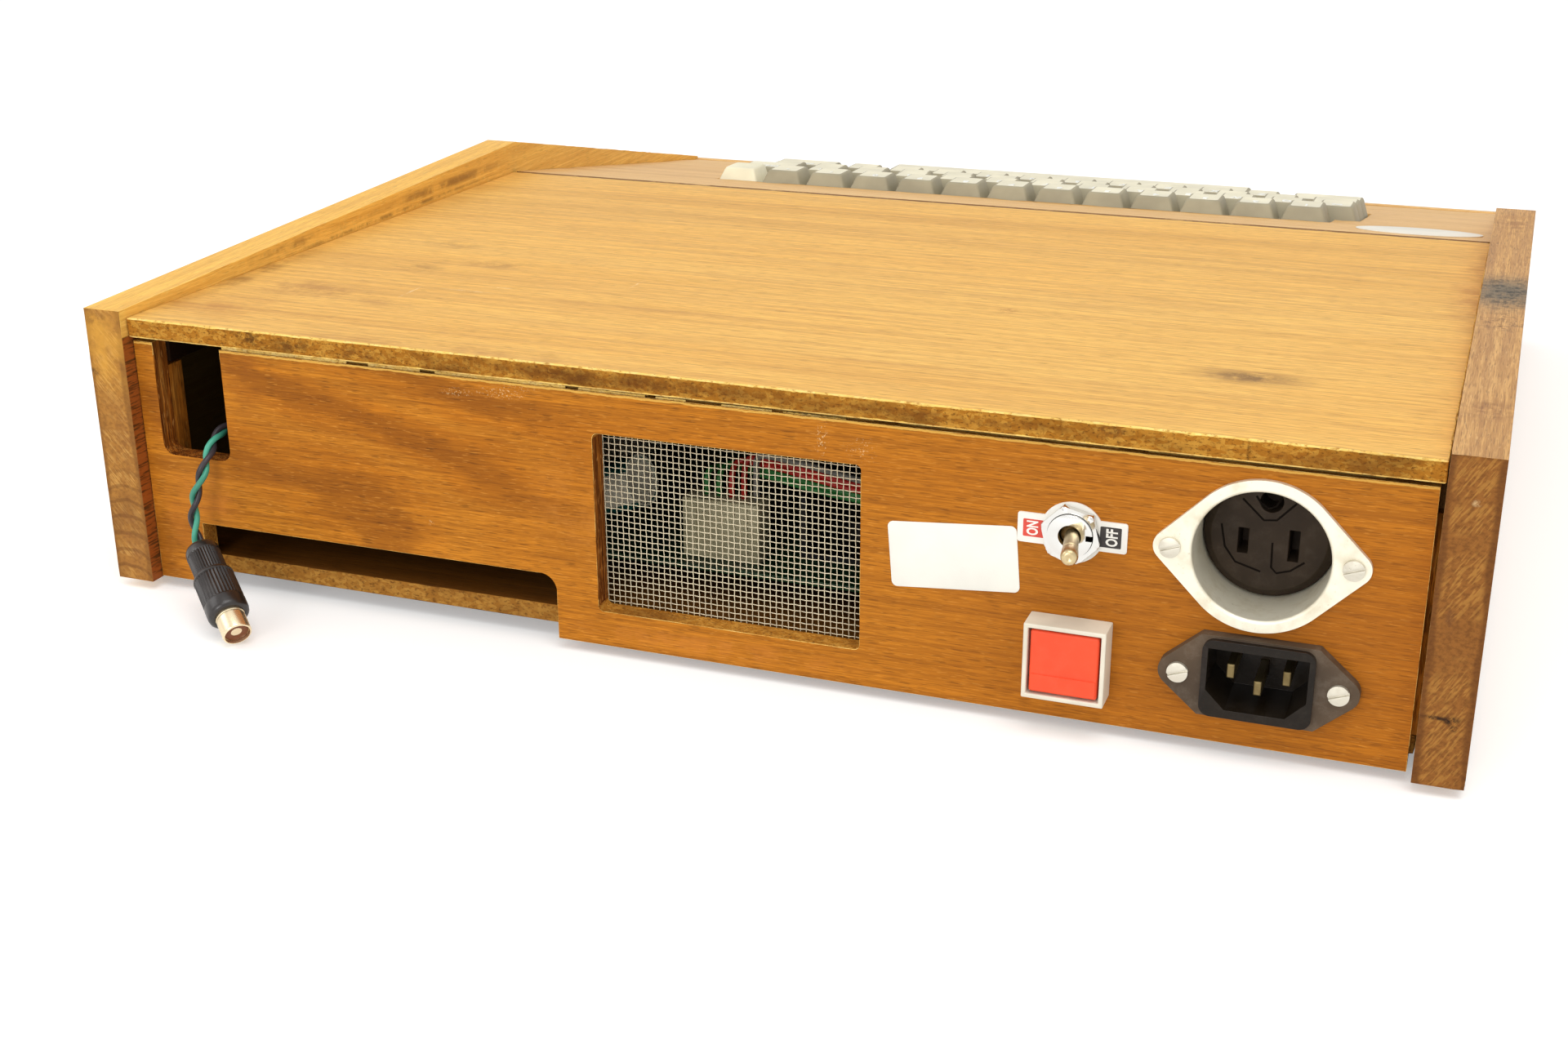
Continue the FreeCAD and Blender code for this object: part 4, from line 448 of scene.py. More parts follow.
@dataclass(frozen=True)
class Arch:
    """Nested arched rings of a flat-sawn board that open to +X, in millimetres."""

    tip: Place
    rise: float
    run: float
    bands: float
    strength: float
    start: float
    full: float

    def paint(self, nodes: Nodes, under: Socket, dark: Colour,
              pale: Colour) -> Socket:
        """Lay the rings over a colour.

        Args:
            nodes: The material's nodes.
            under: The colour so far.
            dark: Colour of the late wood.
            pale: Colour of the early wood.

        Returns:
            The colour with its rings.
        """
        tip = spot(*self.tip)
        across = nodes.axis(Axis.X)
        rise = nodes.math("DIVIDE", nodes.math("SUBTRACT", nodes.axis(Axis.Z), tip.z), self.rise * MM)
        run = nodes.math("DIVIDE", nodes.math("SUBTRACT", across, tip.x), self.run * MM)
        level = nodes.math("SUBTRACT", nodes.times(rise, rise), run)
        warp = nodes.noise((12, 12, 34), 4, 0.5)
        phase = nodes.math("ADD", nodes.times(level, self.bands), nodes.times(warp, 1.8))
        wave = nodes.math("SINE", nodes.times(phase, 2 * math.pi))
        near = nodes.step(across, spot(self.start, 0, 0).x, spot(self.full, 0, 0).x)
        near = nodes.times(near, self.strength)
        under = nodes.tint(under, dark, wave, 0.1, 1.0, near)
        return nodes.tint(under, pale, wave, -0.2, -1.0, near)


# Cells per metre along and across the grain, for each layer of a timber.
FIBRE_CELLS = (7, 460)
STREAK_CELLS = (26, 1500)
FINE_CELLS = (120, 3600)
CLOUD_CELLS = (4, 12)
PORE_CELLS = (210, 3400)
FLECK_CELLS = (330, 3800)


@dataclass(frozen=True)
class Timber(Finish):
    """Varnished timber: slow bands, fibres, thin streaks, pores and flecks along one axis."""

    name: str
    colour: Colour
    dark: Colour
    pale: Colour
    along: Axis = Axis.X
    band: float = 0.3
    band_along: float = 2.0
    band_across: float = 40.0
    fibre: float = 0.45
    streak: float = 0.3
    pore: float = 0.3
    fleck: float = 0.2
    gloss: float = 0.42
    sheen: float = 0.16
    arch: Arch | None = None
    marks: tuple[Mark | Patch, ...] = ()

    def scales(self, along: float, across: float) -> Place:
        """Cells per metre with the grain's axis set apart.

        Args:
            along: Cells per metre along the grain.
            across: Cells per metre across it.

        Returns:
            The three scales.
        """
        values = [across, across, across]
        values[self.along.value] = along
        return (values[0], values[1], values[2])

    def make(self, nodes: Nodes) -> bpy.types.Material:
        """Build the timber."""
        fibre = nodes.noise(self.scales(*FIBRE_CELLS), 6, 0.62, 0.1)
        streak = nodes.noise(self.scales(*STREAK_CELLS), 3, 0.55, shift=(1, 2, 3))
        fine = nodes.noise(self.scales(*FINE_CELLS), 1, shift=(2, 6, 4))
        band = nodes.noise(self.scales(self.band_along, self.band_across), 3, 0.5, 0.3, (5, 1, 2))
        cloud = nodes.noise(self.scales(*CLOUD_CELLS), 2, shift=(3, 7, 1))
        pores = nodes.step(nodes.noise(self.scales(*PORE_CELLS), 0, shift=(4, 4, 9)), 0.62, 0.74)
        flecks = nodes.step(nodes.noise(self.scales(*FLECK_CELLS), 0, shift=(9, 2, 6)), 0.70, 0.78)
        colour = nodes.tint(self.colour, self.pale, cloud, 0.40, 0.70, 0.5)
        colour = nodes.tint(colour, self.pale, band, 0.48, 0.66, self.band)
        colour = nodes.tint(colour, self.dark, band, 0.50, 0.32, self.band)
        if self.arch:
            colour = self.arch.paint(nodes, colour, self.dark, self.pale)
        colour = nodes.tint(colour, self.dark, fibre, 0.60, 0.34, self.fibre)
        colour = nodes.tint(colour, self.dark, streak, 0.58, 0.36, self.streak)
        colour = nodes.tint(colour, self.dark, fine, 0.58, 0.38, self.streak)
        deep = tuple(part * 0.6 for part in self.dark)
        light = tuple(min(255.0, part + 34) for part in self.pale)
        colour = nodes.mix(nodes.times(pores, self.pore), colour, deep)
        colour = nodes.mix(nodes.times(flecks, self.fleck), colour, light)
        for mark in self.marks:
            colour = mark.paint(nodes, colour)
        rough = nodes.math("ADD", nodes.times(fibre, 0.2), self.gloss)
        height = nodes.math("SUBTRACT", nodes.times(fibre, 0.4), pores)
        return nodes.finish(colour, rough, height, 0.00003, Specular_IOR_Level=self.sheen)


@dataclass(frozen=True)
class Particle(Finish):
    """Sawn particle board: fine pressed chips, dark specks and dirty patches."""

    name: str
    colour: Colour
    dark: Colour
    pale: Colour
    chip: float = 1000.0
    dirt: float = 0.45
    marks: tuple[Mark | Seam, ...] = ()

    def make(self, nodes: Nodes) -> bpy.types.Material:
        """Build the particle board."""
        chips = nodes.cells((self.chip * 0.6, self.chip, self.chip))
        fine = nodes.noise((self.chip * 0.9, self.chip * 1.5, self.chip * 1.5), 4, 0.7)
        cloud = nodes.noise((30, 60, 110), 4, 0.6)
        colour = nodes.tint(self.colour, self.pale, chips, 0.2, 1.0, 0.6)
        colour = nodes.tint(colour, self.dark, fine, 0.50, 0.66, 0.75)
        colour = nodes.tint(colour, self.dark, cloud, 0.46, 0.66, self.dirt)
        for mark in self.marks:
            colour = mark.paint(nodes, colour)
        return nodes.finish(colour, 0.85, fine, 0.0003, Specular_IOR_Level=0.12)


@dataclass(frozen=True)
class EndGrain(Finish):
    """Saw-marked end of an upright board: slanted pale strokes in bands, dark borders, curved rings."""

    name: str
    colour: Colour
    dark: Colour
    pale: Colour
    middle: float
    half: float = 6.35
    slant: float = 32.0
    strokes: float = 0.8
    border: float = 2.6
    rings: float = 0.3
    ring_top: float = 48.0
    ring_pitch: float = 5.2
    bow: float = 40.0
    marks: tuple[Mark, ...] = ()

    def make(self, nodes: Nodes) -> bpy.types.Material:
        """Build the end grain."""
        strokes = nodes.noise((1900, 30, 260), 2, 0.5, 0.1, turn=(0, self.slant, 0))
        bands = nodes.noise((30, 20, 130), 2, 0.5, shift=(5, 0, 2))
        fine = nodes.noise((700, 400, 900), 3, 0.6)
        cloud = nodes.noise((60, 40, 34), 3, 0.55, shift=(5, 0, 2))
        off = nodes.math("SUBTRACT", nodes.axis(Axis.X), spot(self.middle, 0, 0).x)
        bow = nodes.times(nodes.times(off, off), self.bow)
        ragged = nodes.times(nodes.math("SUBTRACT", cloud, 0.5), 0.005)
        off = nodes.math("ADD", nodes.math("ABSOLUTE", off), ragged)
        inner = nodes.step(off, self.half * MM, (self.half - self.border) * MM)
        height = nodes.axis(Axis.Z)
        level = nodes.math("ADD", nodes.math("ADD", height, bow), nodes.times(cloud, 0.008))
        wave = nodes.math("SINE", nodes.times(level, 2 * math.pi / (self.ring_pitch * MM)))
        low = nodes.step(height, spot(0, 0, self.ring_top).z, spot(0, 0, self.ring_top - 22).z)
        colour = nodes.tint(self.colour, self.dark, fine, 0.6, 0.35, 0.45)
        lit = nodes.times(nodes.step(strokes, 0.46, 0.60), nodes.step(bands, 0.38, 0.54))
        colour = nodes.mix(nodes.times(nodes.times(lit, inner), self.strokes), colour, self.pale)
        colour = nodes.tint(colour, self.dark, wave, 0.55, 0.95, nodes.times(low, self.rings))
        colour = nodes.tint(colour, self.dark, inner, 0.8, 0.1, 0.55)
        colour = nodes.tint(colour, self.dark, cloud, 0.50, 0.32, 0.5)
        for mark in self.marks:
            colour = mark.paint(nodes, colour)
        return nodes.finish(colour, 0.62, strokes, 0.00012, Specular_IOR_Level=0.15)


@dataclass(frozen=True)
class Moulded(Finish):
    """Moulded plastic, rubber or paper: a fine grain, a slow tone and a little dust."""

    name: str
    colour: Colour
    rough: float = 0.45
    tone: float = 0.08
    dust: float = 0.06
    dust_colour: Colour = (170, 160, 145)
    grain: float = 1800.0
    depth: float = 0.00003
    shine: float = 0.35

    def make(self, nodes: Nodes) -> bpy.types.Material:
        """Build the moulded surface."""
        slow = nodes.noise((60, 60, 60), 3)
        fine = nodes.noise((self.grain,) * 3, 2)
        settled = nodes.noise((240, 240, 240), 5, 0.7)
        darker = tuple(part * (1 - 2.5 * self.tone) for part in self.colour)
        colour = nodes.mix(nodes.step(slow, 0.3, 0.7), darker, self.colour)
        colour = nodes.tint(colour, self.dust_colour, settled, 0.45, 0.75, self.dust)
        rough = nodes.math("ADD", nodes.times(slow, 0.14), self.rough)
        return nodes.finish(colour, rough, fine, self.depth, Specular_IOR_Level=self.shine)


@dataclass(frozen=True)
class Metal(Finish):
    """Bare or plated metal: faint scratches, a slow tarnish and small dull spots."""

    name: str
    colour: Colour
    rough: float = 0.3
    tarnish: Colour = (120, 108, 90)
    dull: float = 0.25
    metallic: float = 1.0
    depth: float = 0.00002

    def make(self, nodes: Nodes) -> bpy.types.Material:
        """Build the metal."""
        slow = nodes.noise((150, 150, 150), 4, 0.6)
        spots = nodes.noise((900, 900, 900), 3, 0.7)
        colour = nodes.tint(self.colour, self.tarnish, slow, 0.42, 0.75, self.dull)
        colour = nodes.tint(colour, self.tarnish, spots, 0.62, 0.75, self.dull)
        rough = nodes.math("ADD", nodes.times(slow, 0.25), self.rough)
        return nodes.finish(colour, rough, spots, self.depth, Metallic=self.metallic)


@dataclass(frozen=True)
class Foam(Finish):
    """Squeezed foam strip, smooth and yellowed, with a few dark cells."""

    name: str
    colour: Colour

    def make(self, nodes: Nodes) -> bpy.types.Material:
        """Build the foam."""
        cells = nodes.noise((1500, 1500, 1500), 2, 0.5)
        slow = nodes.noise((70, 70, 70), 3)
        dark = tuple(part * 0.6 for part in self.colour)
        colour = nodes.tint(self.colour, dark, cells, 0.5, 0.34, 0.5)
        colour = nodes.tint(colour, dark, slow, 0.45, 0.7, 0.7)
        return nodes.finish(colour, 0.9, cells, 0.0001, Specular_IOR_Level=0.1)


@dataclass(frozen=True)
class Circuit(Finish):
    """Lacquered circuit board: thin tracks in rows over the base."""

    name: str
    colour: Colour
    track: Colour

    def make(self, nodes: Nodes) -> bpy.types.Material:
        """Build the circuit board."""
        lanes = nodes.cells((420, 38, 1))
        rows = nodes.cells((30, 400, 1), (2, 5, 0))
        tracks = nodes.math("MAXIMUM", nodes.step(lanes, 0.55, 0.6), nodes.step(rows, 0.62, 0.66))
        slow = nodes.noise((50, 50, 50), 3)
        colour = nodes.mix(nodes.times(tracks, 0.6), self.colour, self.track)
        dark = tuple(part * 0.7 for part in self.colour)
        colour = nodes.mix(nodes.times(slow, 0.5), colour, dark)
        return nodes.finish(colour, 0.35, tracks, 0.00005)


PALE_CHIP = (236, 204, 150)
SCRATCH = (255, 232, 190)

LID_MARKS = (
    Mark((54, -51, 83.5), (24, 10, 6), (140, 100, 54), 0.6, 50, -0.1),
    Mark((54, -51, 83.5), (15, 7, 6), (96, 66, 36), 0.6, 260),
    Mark((303, -97, 83.0), (20, 8, 6), (150, 104, 54), 0.5, 90),
    Mark((327, -84, 83.2), (14, 7, 6), (140, 94, 46), 0.5, 80),
    Mark((331, -118, 82.8), (14, 9, 6), (140, 94, 46), 0.4, 80),
    Mark((345, -47, 83.6), (38, 14, 6), (164, 108, 50), 0.55, 60),
    Mark((318, -40, 83.6), (30, 7, 6), (176, 122, 62), 0.45, 60),
    Mark((250, -60, 83.6), (90, 5, 6), (184, 130, 66), 0.4, 30),
    Mark((160, -110, 83.6), (110, 6, 6), (184, 130, 66), 0.35, 26),
    Mark((210, -150, 83.6), (120, 5, 6), (188, 134, 70), 0.35, 26),
    Mark((120, -30, 83.6), (90, 4, 6), (190, 136, 70), 0.3, 30),
    Mark((372, -60, 83.6), (7, 60, 6), (120, 78, 36), 0.6, 60),
    Mark((355, -20, 84), (34, 20, 6), (176, 112, 50), 0.45, 50),
    Mark((270, -1, 84), (80, 9, 6), (164, 108, 50), 0.4, 60),
    Mark((132, -97, 83), (5, 4, 6), (170, 112, 52), 0.6, 500),
    Mark((3, -170, 83), (8, 90, 8), (176, 110, 52), 0.45, 80),
    Seam(Axis.Y, -242.7, 0.9, (84, 44, 18), 0.85, 0.5, 90),
    Mark((296, -62, 83.4), (12, 0.5, 4), SCRATCH, 0.6, 500),
    Mark((288, -69, 83.4), (7, 0.5, 4), SCRATCH, 0.6, 500),
    Mark((312, -55, 83.5), (0.5, 10, 4), SCRATCH, 0.5, 400),
    Mark((250, -88, 83.1), (0.5, 8, 4), SCRATCH, 0.5, 400),
    Mark((244, -96, 83.1), (7, 0.4, 4), SCRATCH, 0.5, 400),
)
PANEL_MARKS = (
    Mark((252, 0, 73.2), (11, 3, 2.4), PALE_CHIP, 1.0, 1500, 0.16),
    Mark((266, 0, 72.0), (7, 3, 1.8), PALE_CHIP, 1.0, 1500, 0.16),
    Mark((246, 0, 75.4), (8, 3, 1.6), PALE_CHIP, 0.9, 1500, 0.16),
    Mark((157, 0, 70.5), (2.5, 3, 7.5), PALE_CHIP, 0.9, 1800, 0.18),
    Mark((146, 0, 69), (6, 3, 5), PALE_CHIP, 0.8, 1800, 0.2),
    Mark((277, 0, 31), (1.4, 3, 1.4), PALE_CHIP, 0.8, 900, 0.1),
    Mark((300, 0, 58), (34, 3, 16), (224, 160, 84), 0.6, 1900, 0.27),
    Mark((238, 0, 58), (24, 3, 16), (228, 164, 88), 0.6, 1900, 0.27),
    Seam(Axis.Z, 76.05, 0.4, (240, 188, 88), 0.85, 0.3, 150),
    Mark((230, 0, 40), (20, 3, 26), (206, 132, 52), 0.3, 90),
    Mark((353, 0, 30), (22, 3, 10), (204, 122, 44), 0.4, 90),
    Mark((360, 0, 20), (30, 3, 24), (196, 116, 40), 0.35, 80),
    Mark((190, 0, 5), (60, 3, 5), (204, 126, 50), 0.45, 100),
    Mark((50, 0, 34), (150, 3, 70), (150, 86, 26), 0.4, 20, -0.3),
    Mark((336, 0, 68), (8, 3, 14), (140, 78, 22), 0.6, 60),
)
LEFT_CHEEK_MARKS = (
    Mark((-7, -139, 90), (17, 26, 8), (104, 96, 80), 0.9, 60, -0.25),
    Mark((-7, -139, 90), (14, 28, 8), (48, 44, 38), 0.95, 420, 0.06),
    Mark((-7, -108, 89), (12, 14, 8), (96, 64, 40), 0.7, 420, 0.1),
    Mark((-7, -30, 88), (9, 12, 8), (120, 70, 36), 0.5, 200),
    Mark((-7, -225, 91), (9, 24, 8), (132, 84, 46), 0.5, 200),
    # Painted shade: the cheek's inner face inside the case, darkened almost to black.
    Patch((-0.8, -236, -5), (1, -7.5, 76)),
)
RIGHT_CHEEK_MARKS = (
    Mark((375.4, -190, 87), (3, 60, 2.6), (136, 92, 40), 0.75, 60),
    Mark((375.4, -100, 86.4), (3, 60, 2.2), (146, 100, 46), 0.65, 60),
    Mark((375.4, -150, 83.6), (3, 110, 1.2), (110, 70, 30), 0.6, 120),
    # Painted shade: the cheek's inner face inside the case, darkened almost to black.
    Patch((374, -236, -5), (375.9, -7.5, 76)),
    Patch((374, -6.5, -5), (375.8, 6, 78), (152, 74, 24), 0.95, 0.7, (60, 120, 1500)),
)
LEFT_END_MARKS = (
    Mark((-7.2, 4.5, 18.4), (3.6, 3, 2.2), (26, 15, 8), 1.0, 500),
    Mark((-4.6, 4.5, 18.6), (6.5, 3, 0.9), (40, 22, 10), 0.95, 400),
    Mark((-8.4, 4.5, 16.4), (1.6, 3, 1.6), (40, 22, 10), 0.9, 500),
    Mark((-4.6, 4.5, 46), (2.2, 3, 7), (104, 64, 34), 0.7, 200),
    Mark((-7, 4.5, 75), (1.6, 3, 1.2), PALE_CHIP, 0.6, 700),
)
RIGHT_END_MARKS = (
    Mark((382, 4.5, 76), (14, 4, 24), (214, 156, 60), 0.7, 40),
    Mark((387, 4.5, 66.5), (2.4, 4, 3), (70, 40, 16), 0.85, 500),
    Mark((385, 4.5, 84), (8, 4, 4), (112, 72, 34), 0.5, 400),
    Mark((379, 4.5, 44), (6, 4, 26), (126, 78, 38), 0.5, 200),
    Mark((381, 4.5, 12), (8, 4, 22), (130, 82, 46), 0.4, 160),
)

LID_VENEER = Timber("lid_veneer", (248, 192, 96), (184, 128, 58), (250, 202, 110), band=0.3,
                    band_along=1.6, fibre=0.32, streak=0.3, pore=0.3, fleck=0.12, marks=LID_MARKS)
PANEL_ARCH = Arch((246, 0, 14), 42.0, 62.0, 0.8, 0.5, 205.0, 268.0)
PANEL_VENEER = Timber("panel_veneer", (194, 117, 26), (122, 66, 12), (208, 134, 38), band=0.26,
                      band_along=3.0, fibre=0.36, streak=0.32, pore=0.4, fleck=0.25, gloss=0.45,
                      sheen=0.12,
                      arch=PANEL_ARCH, marks=PANEL_MARKS)
KEY_PANEL_VENEER = Timber("key_panel_veneer", (238, 194, 126), (196, 142, 80), (246, 206, 142), band=0.3,
                          fibre=0.45, pore=0.2, fleck=0.1,
                          marks=(Seam(Axis.Y, -244.6, 0.6, (96, 52, 22), 0.8, 0.4, 90),))
LEFT_CHEEK_WOOD = Timber("left_cheek_wood", (214, 164, 100), (156, 108, 60), (226, 182, 124), Axis.Y,
                         fibre=0.55, streak=0.4, pore=0.35, sheen=0.2, marks=LEFT_CHEEK_MARKS)
RIGHT_CHEEK_WOOD = Timber("right_cheek_wood", (252, 198, 92), (212, 150, 56), (255, 212, 116), Axis.Y,
                          fibre=0.5, pore=0.2, sheen=0.2, marks=RIGHT_CHEEK_MARKS)
LEFT_END = EndGrain("left_cheek_end", (142, 90, 38), (84, 46, 16), (192, 138, 64), -6.35, strokes=0.42,
                    rings=0.12, marks=LEFT_END_MARKS)
RIGHT_END = EndGrain("right_cheek_end", (172, 118, 52), (112, 70, 30), (208, 158, 84), 381.55,
                     slant=-40.0, strokes=0.6, rings=0.55, marks=RIGHT_END_MARKS)
LID_EDGE_MARKS = (
    Seam(Axis.Z, 83.9, 0.45, (250, 214, 110), 0.9, 0.35, 160),
    Seam(Axis.Z, 78.1, 0.45, (246, 206, 92), 0.9, 0.35, 160),
    Mark((333, 2, 82), (9, 4, 4), (74, 44, 16), 0.8, 420),
    Mark((318, 2, 81), (10, 4, 3.4), (82, 48, 18), 0.7, 420),
    Mark((296, 2, 80.5), (16, 4, 3), (98, 58, 22), 0.6, 300),
    Mark((215, 2, 81), (90, 4, 3.2), (92, 50, 14), 0.75, 160, -0.1),
    Mark((120, 2, 81), (50, 4, 2.0), (96, 52, 16), 0.6, 160),
    Mark((30, 2, 80.5), (26, 4, 2.4), (112, 64, 20), 0.5, 160),
    Mark((80, 2, 82), (7, 4, 3), (90, 56, 26), 0.6, 500),
    Mark((46.5, 2, 80), (0.6, 4, 4.5), (60, 30, 10), 0.9, 500),
)
BOARD_EDGE = Particle("board_edge", (170, 110, 32), (80, 44, 10), (210, 156, 64), dirt=0.55,
                      marks=LID_EDGE_MARKS)
WORN_EDGE = Particle("worn_edge", (250, 206, 112), (170, 112, 44), (255, 228, 146), 700, 0.25)
# Dark copy of the board for the lid's underside and front edge: painted shade inside the case.
BOARD_UNDER_SHADE = Particle("board_under_shade", (74, 44, 18), (38, 22, 8), (96, 62, 28))
BASE_EDGE = Particle("base_edge", (158, 106, 40), (92, 54, 18), (192, 142, 64), 900, 0.3)
# The base's top darkens towards near-black deeper inside the case: painted shade.
BASE_TOP = Timber("base_top", (132, 82, 28), (84, 48, 16), (150, 98, 38), pore=0.4, sheen=0.08,
                  marks=(Patch((-2, -440, 6), (378, -42, 9), soft=34.0),))
RAW_EDGE = Particle("raw_edge", (184, 120, 38), (92, 48, 14), (226, 166, 74), 1200, 0.5)
LIP_FIBRE = Particle("lip_fibre", (236, 196, 104), (168, 112, 44), (250, 224, 150), 900, 0.3)
SLOT_EDGE = Timber("slot_edge", (186, 104, 32), (76, 34, 10), (214, 142, 62), Axis.Z, band=0.8,
                   band_along=40, band_across=420, fibre=0.8, streak=0.6, pore=0.7, fleck=0.6, gloss=0.7,
                   sheen=0.05)
# The patch darkens the cleats near the cable slot's top almost to black: painted shade.
SAWN_PINE = Timber("sawn_pine", (96, 64, 32), (62, 38, 17), (116, 82, 46), Axis.Y, gloss=0.7, sheen=0.05,
                   marks=(Patch((350, -34, 58), (376, 2, 82), (26, 13, 5), 0.97),))
BATTEN_WOOD = Timber("batten_wood", (206, 122, 38), (104, 58, 16), (232, 156, 66), Axis.Z, band=0.7,
                     band_along=60, band_across=140, fibre=0.7, pore=0.6, gloss=0.7, sheen=0.05)
# Yellowed foam, darkened further to stand for the shade in the gap under the lid: partly painted shade.
SEAL_FOAM_AND_SHADE = Foam("seal_foam_and_shade", (150, 120, 60))
SATIN_CAST = Metal("satin_cast", (240, 234, 214), 0.34, (186, 168, 128), 0.4, 0.5)
NICKEL = Metal("nickel", (196, 178, 134), 0.34, (132, 110, 68), 0.4, 0.9)
LEVER_NICKEL = Metal("lever_nickel", (204, 184, 142), 0.2, (112, 88, 52), 0.4, 0.95)
BORE_BRASS = Metal("bore_brass", (152, 126, 76), 0.4, (84, 62, 32), 0.5, 0.6)
# Near-black for the bushing's keyway: painted shade in the notch.
KEYWAY_SHADE = Moulded("keyway_shade", (16, 13, 10), 0.7, dust=0.0, shine=0.05)
SCREW_STEEL = Metal("screw_steel", (214, 208, 192), 0.3, (140, 128, 104), 0.4, 0.7)
MESH_WIRE = Metal("mesh_wire", (224, 212, 182), 0.45, (150, 138, 108), 0.3, 0.3)
JACK_PLATE = Metal("jack_plate", (240, 222, 186), 0.14, (190, 156, 108), 0.15, 0.9)
BRASS_PIN = Metal("brass_pin", (128, 112, 76), 0.35, (80, 62, 36), 0.5)
INLET_FLANGE = Moulded("inlet_flange", (92, 74, 56), 0.5, dust=0.12, shine=0.25)
INLET_RIM = Moulded("inlet_rim", (36, 27, 20), 0.2, dust=0.03, shine=0.22)
# Darker copy of the moulding for the socket's inside: painted shade.
INLET_SOCKET_SHADE = Moulded("inlet_socket_shade", (32, 24, 15), 0.16, dust=0.02, shine=0.2)
BROWN_SOCKET = Moulded("brown_socket", (56, 45, 35), 0.5, dust=0.03, shine=0.12)
# Near-black lines that stand for the shade in the receptacle's grooves: painted shade.
SOCKET_GROOVE_SHADE = Moulded("socket_groove_shade", (22, 16, 11), 0.6, dust=0.0, shine=0.05)
BLACK_SWITCH = Moulded("black_switch", (34, 31, 30), 0.4)
LEAD_BLACK = Moulded("lead_black", (58, 52, 56), 0.25, dust=0.02)
LEAD_GREEN = Moulded("lead_green", (74, 166, 138), 0.28, dust=0.02)
JACK_BLACK = Moulded("jack_black", (44, 37, 34), 0.24, dust=0.04, shine=0.55)
JACK_CORE = Moulded("jack_core", (140, 78, 40), 0.4)
BEZEL_CREAM = Moulded("bezel_cream", (232, 224, 204), 0.42, 0.04)
# Darker copy of the bezel for the floor of its well: painted shade.
BEZEL_WELL_SHADE = Moulded("bezel_well_shade", (120, 96, 76), 0.6, 0.04, shine=0.1)
BUTTON_RED = Moulded("button_red", (246, 84, 48), 0.45, 0.03, dust=0.03, shine=0.3)
PLATE_RED = Moulded("plate_red", (222, 78, 62), 0.4)
PLATE_BLACK = Moulded("plate_black", (58, 52, 50), 0.4)
PLATE_WHITE = Moulded("plate_white", (244, 240, 230), 0.4, 0.03)
LABEL_WHITE = Moulded("label_white", (240, 237, 226), 0.55, 0.02, dust=0.03)
BADGE_WHITE = Moulded("badge_white", (238, 232, 216), 0.4, 0.02)
# Lit and shaded copies of one keycap colour: darker flanks as painted shade, lighter tops as painted
# light.
KEY_FLANK_SHADE = Moulded("key_flank_shade", (170, 160, 132), 0.5, 0.04)
KEY_TOP_LIT = Moulded("key_top_lit", (240, 232, 204), 0.42, 0.03)
KEY_CREAM = Moulded("key_cream", (248, 240, 208), 0.45, 0.03)
LEGEND_WHITE = Moulded("legend_white", (250, 250, 244), 0.4, 0.02)
HOUSING_DARK = Moulded("housing_dark", (44, 44, 46), 0.5)
NYLON_GREY = Moulded("nylon_grey", (176, 168, 132), 0.4, 0.05)
CAP_SLEEVE = Moulded("cap_sleeve", (22, 104, 96), 0.3)
CAP_END = Moulded("cap_end", (255, 250, 226), 0.5, 0.04)
COIL_TAPE = Moulded("coil_tape", (120, 90, 36), 0.5, 0.12)
CORE_IRON = Metal("core_iron", (60, 54, 48), 0.5, (40, 32, 26), 0.5)
SINK_DARK = Metal("sink_dark", (40, 40, 42), 0.5)
CIRCUIT_GREEN = Circuit("circuit_green", (18, 50, 28), (34, 76, 40))
CHIP_BLACK = Moulded("chip_black", (20, 20, 21), 0.5)
GLIDE_CREAM = Moulded("glide_cream", (206, 196, 164), 0.4, 0.08)
RIBBON_GREY = Moulded("ribbon_grey", (120, 118, 112), 0.45)
WIRE_FINISHES = (
    Moulded("wire_green_pale", (44, 130, 58), 0.4),
    Moulded("wire_green", (40, 124, 50), 0.4),
    Moulded("wire_red", (200, 38, 26), 0.4),
    Moulded("wire_red_deep", (186, 34, 26), 0.4),
    Moulded("wire_grey", (126, 122, 112), 0.4),
)


def placed(name: str, data: bpy.types.ID) -> bpy.types.Object:
    """Put data into the scene as an object.

    Args:
        name: The object's name.
        data: Its mesh, curve, lamp or camera.

    Returns:
        The new object.
    """
    holder = bpy.data.objects.new(name, data)
    bpy.context.scene.collection.objects.link(holder)
    return holder


# Edges sharper than the first angle are rounded, those sharper than the second are shaded as edges.
SHARP_ANGLE = math.radians(32)
SHADED_ANGLE = math.radians(38)


def piece_of(name: str, shape: Shape, finishes: Sequence[Finish], body: str = "case",
             replaced: Sequence[str] = ()) -> bpy.types.Object:
    """Turn a built shape into a piece that rides on a body.

    Args:
        name: The piece's name.
        shape: The shape, which is freed.
        finishes: One finish for each material index in use.
        body: The body it rides on.
        replaced: CAD nodes that it stands for.

    Returns:
        The new object.
    """
    mesh = bpy.data.meshes.new(name)
    bmesh.ops.recalc_face_normals(shape, faces=shape.faces)
    shape.to_mesh(mesh)
    shape.free()
    for finish in finishes:
        mesh.materials.append(finish.material())
    piece = placed(name, mesh)
    mesh.polygons.foreach_set("use_smooth", [True] * len(mesh.polygons))
    mesh.set_sharp_from_angle(angle=SHADED_ANGLE)
    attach(piece, body)
    if replaced:
        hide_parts(*replaced)
    LOG.info("piece %s on %s, %d faces", name, body, len(mesh.polygons))
    return piece


def weigh_normals(piece: bpy.types.Object) -> None:
    """Keep large flat faces flat beside their rounded edges.

    Args:
        piece: A piece with bevelled edges.
    """
    modifier = piece.modifiers.new("weighted", "WEIGHTED_NORMAL")
    modifier.keep_sharp = True


def bmesh_of(node: str) -> Shape:
    """A CAD node's mesh as it is.

    Args:
        node: The CAD node.

    Returns:
        A copy of its mesh with shared points joined.
    """
    shape = bmesh.new()
    shape.from_mesh(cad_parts[node].data)
    bmesh.ops.remove_doubles(shape, verts=shape.verts, dist=1e-6)
    return shape


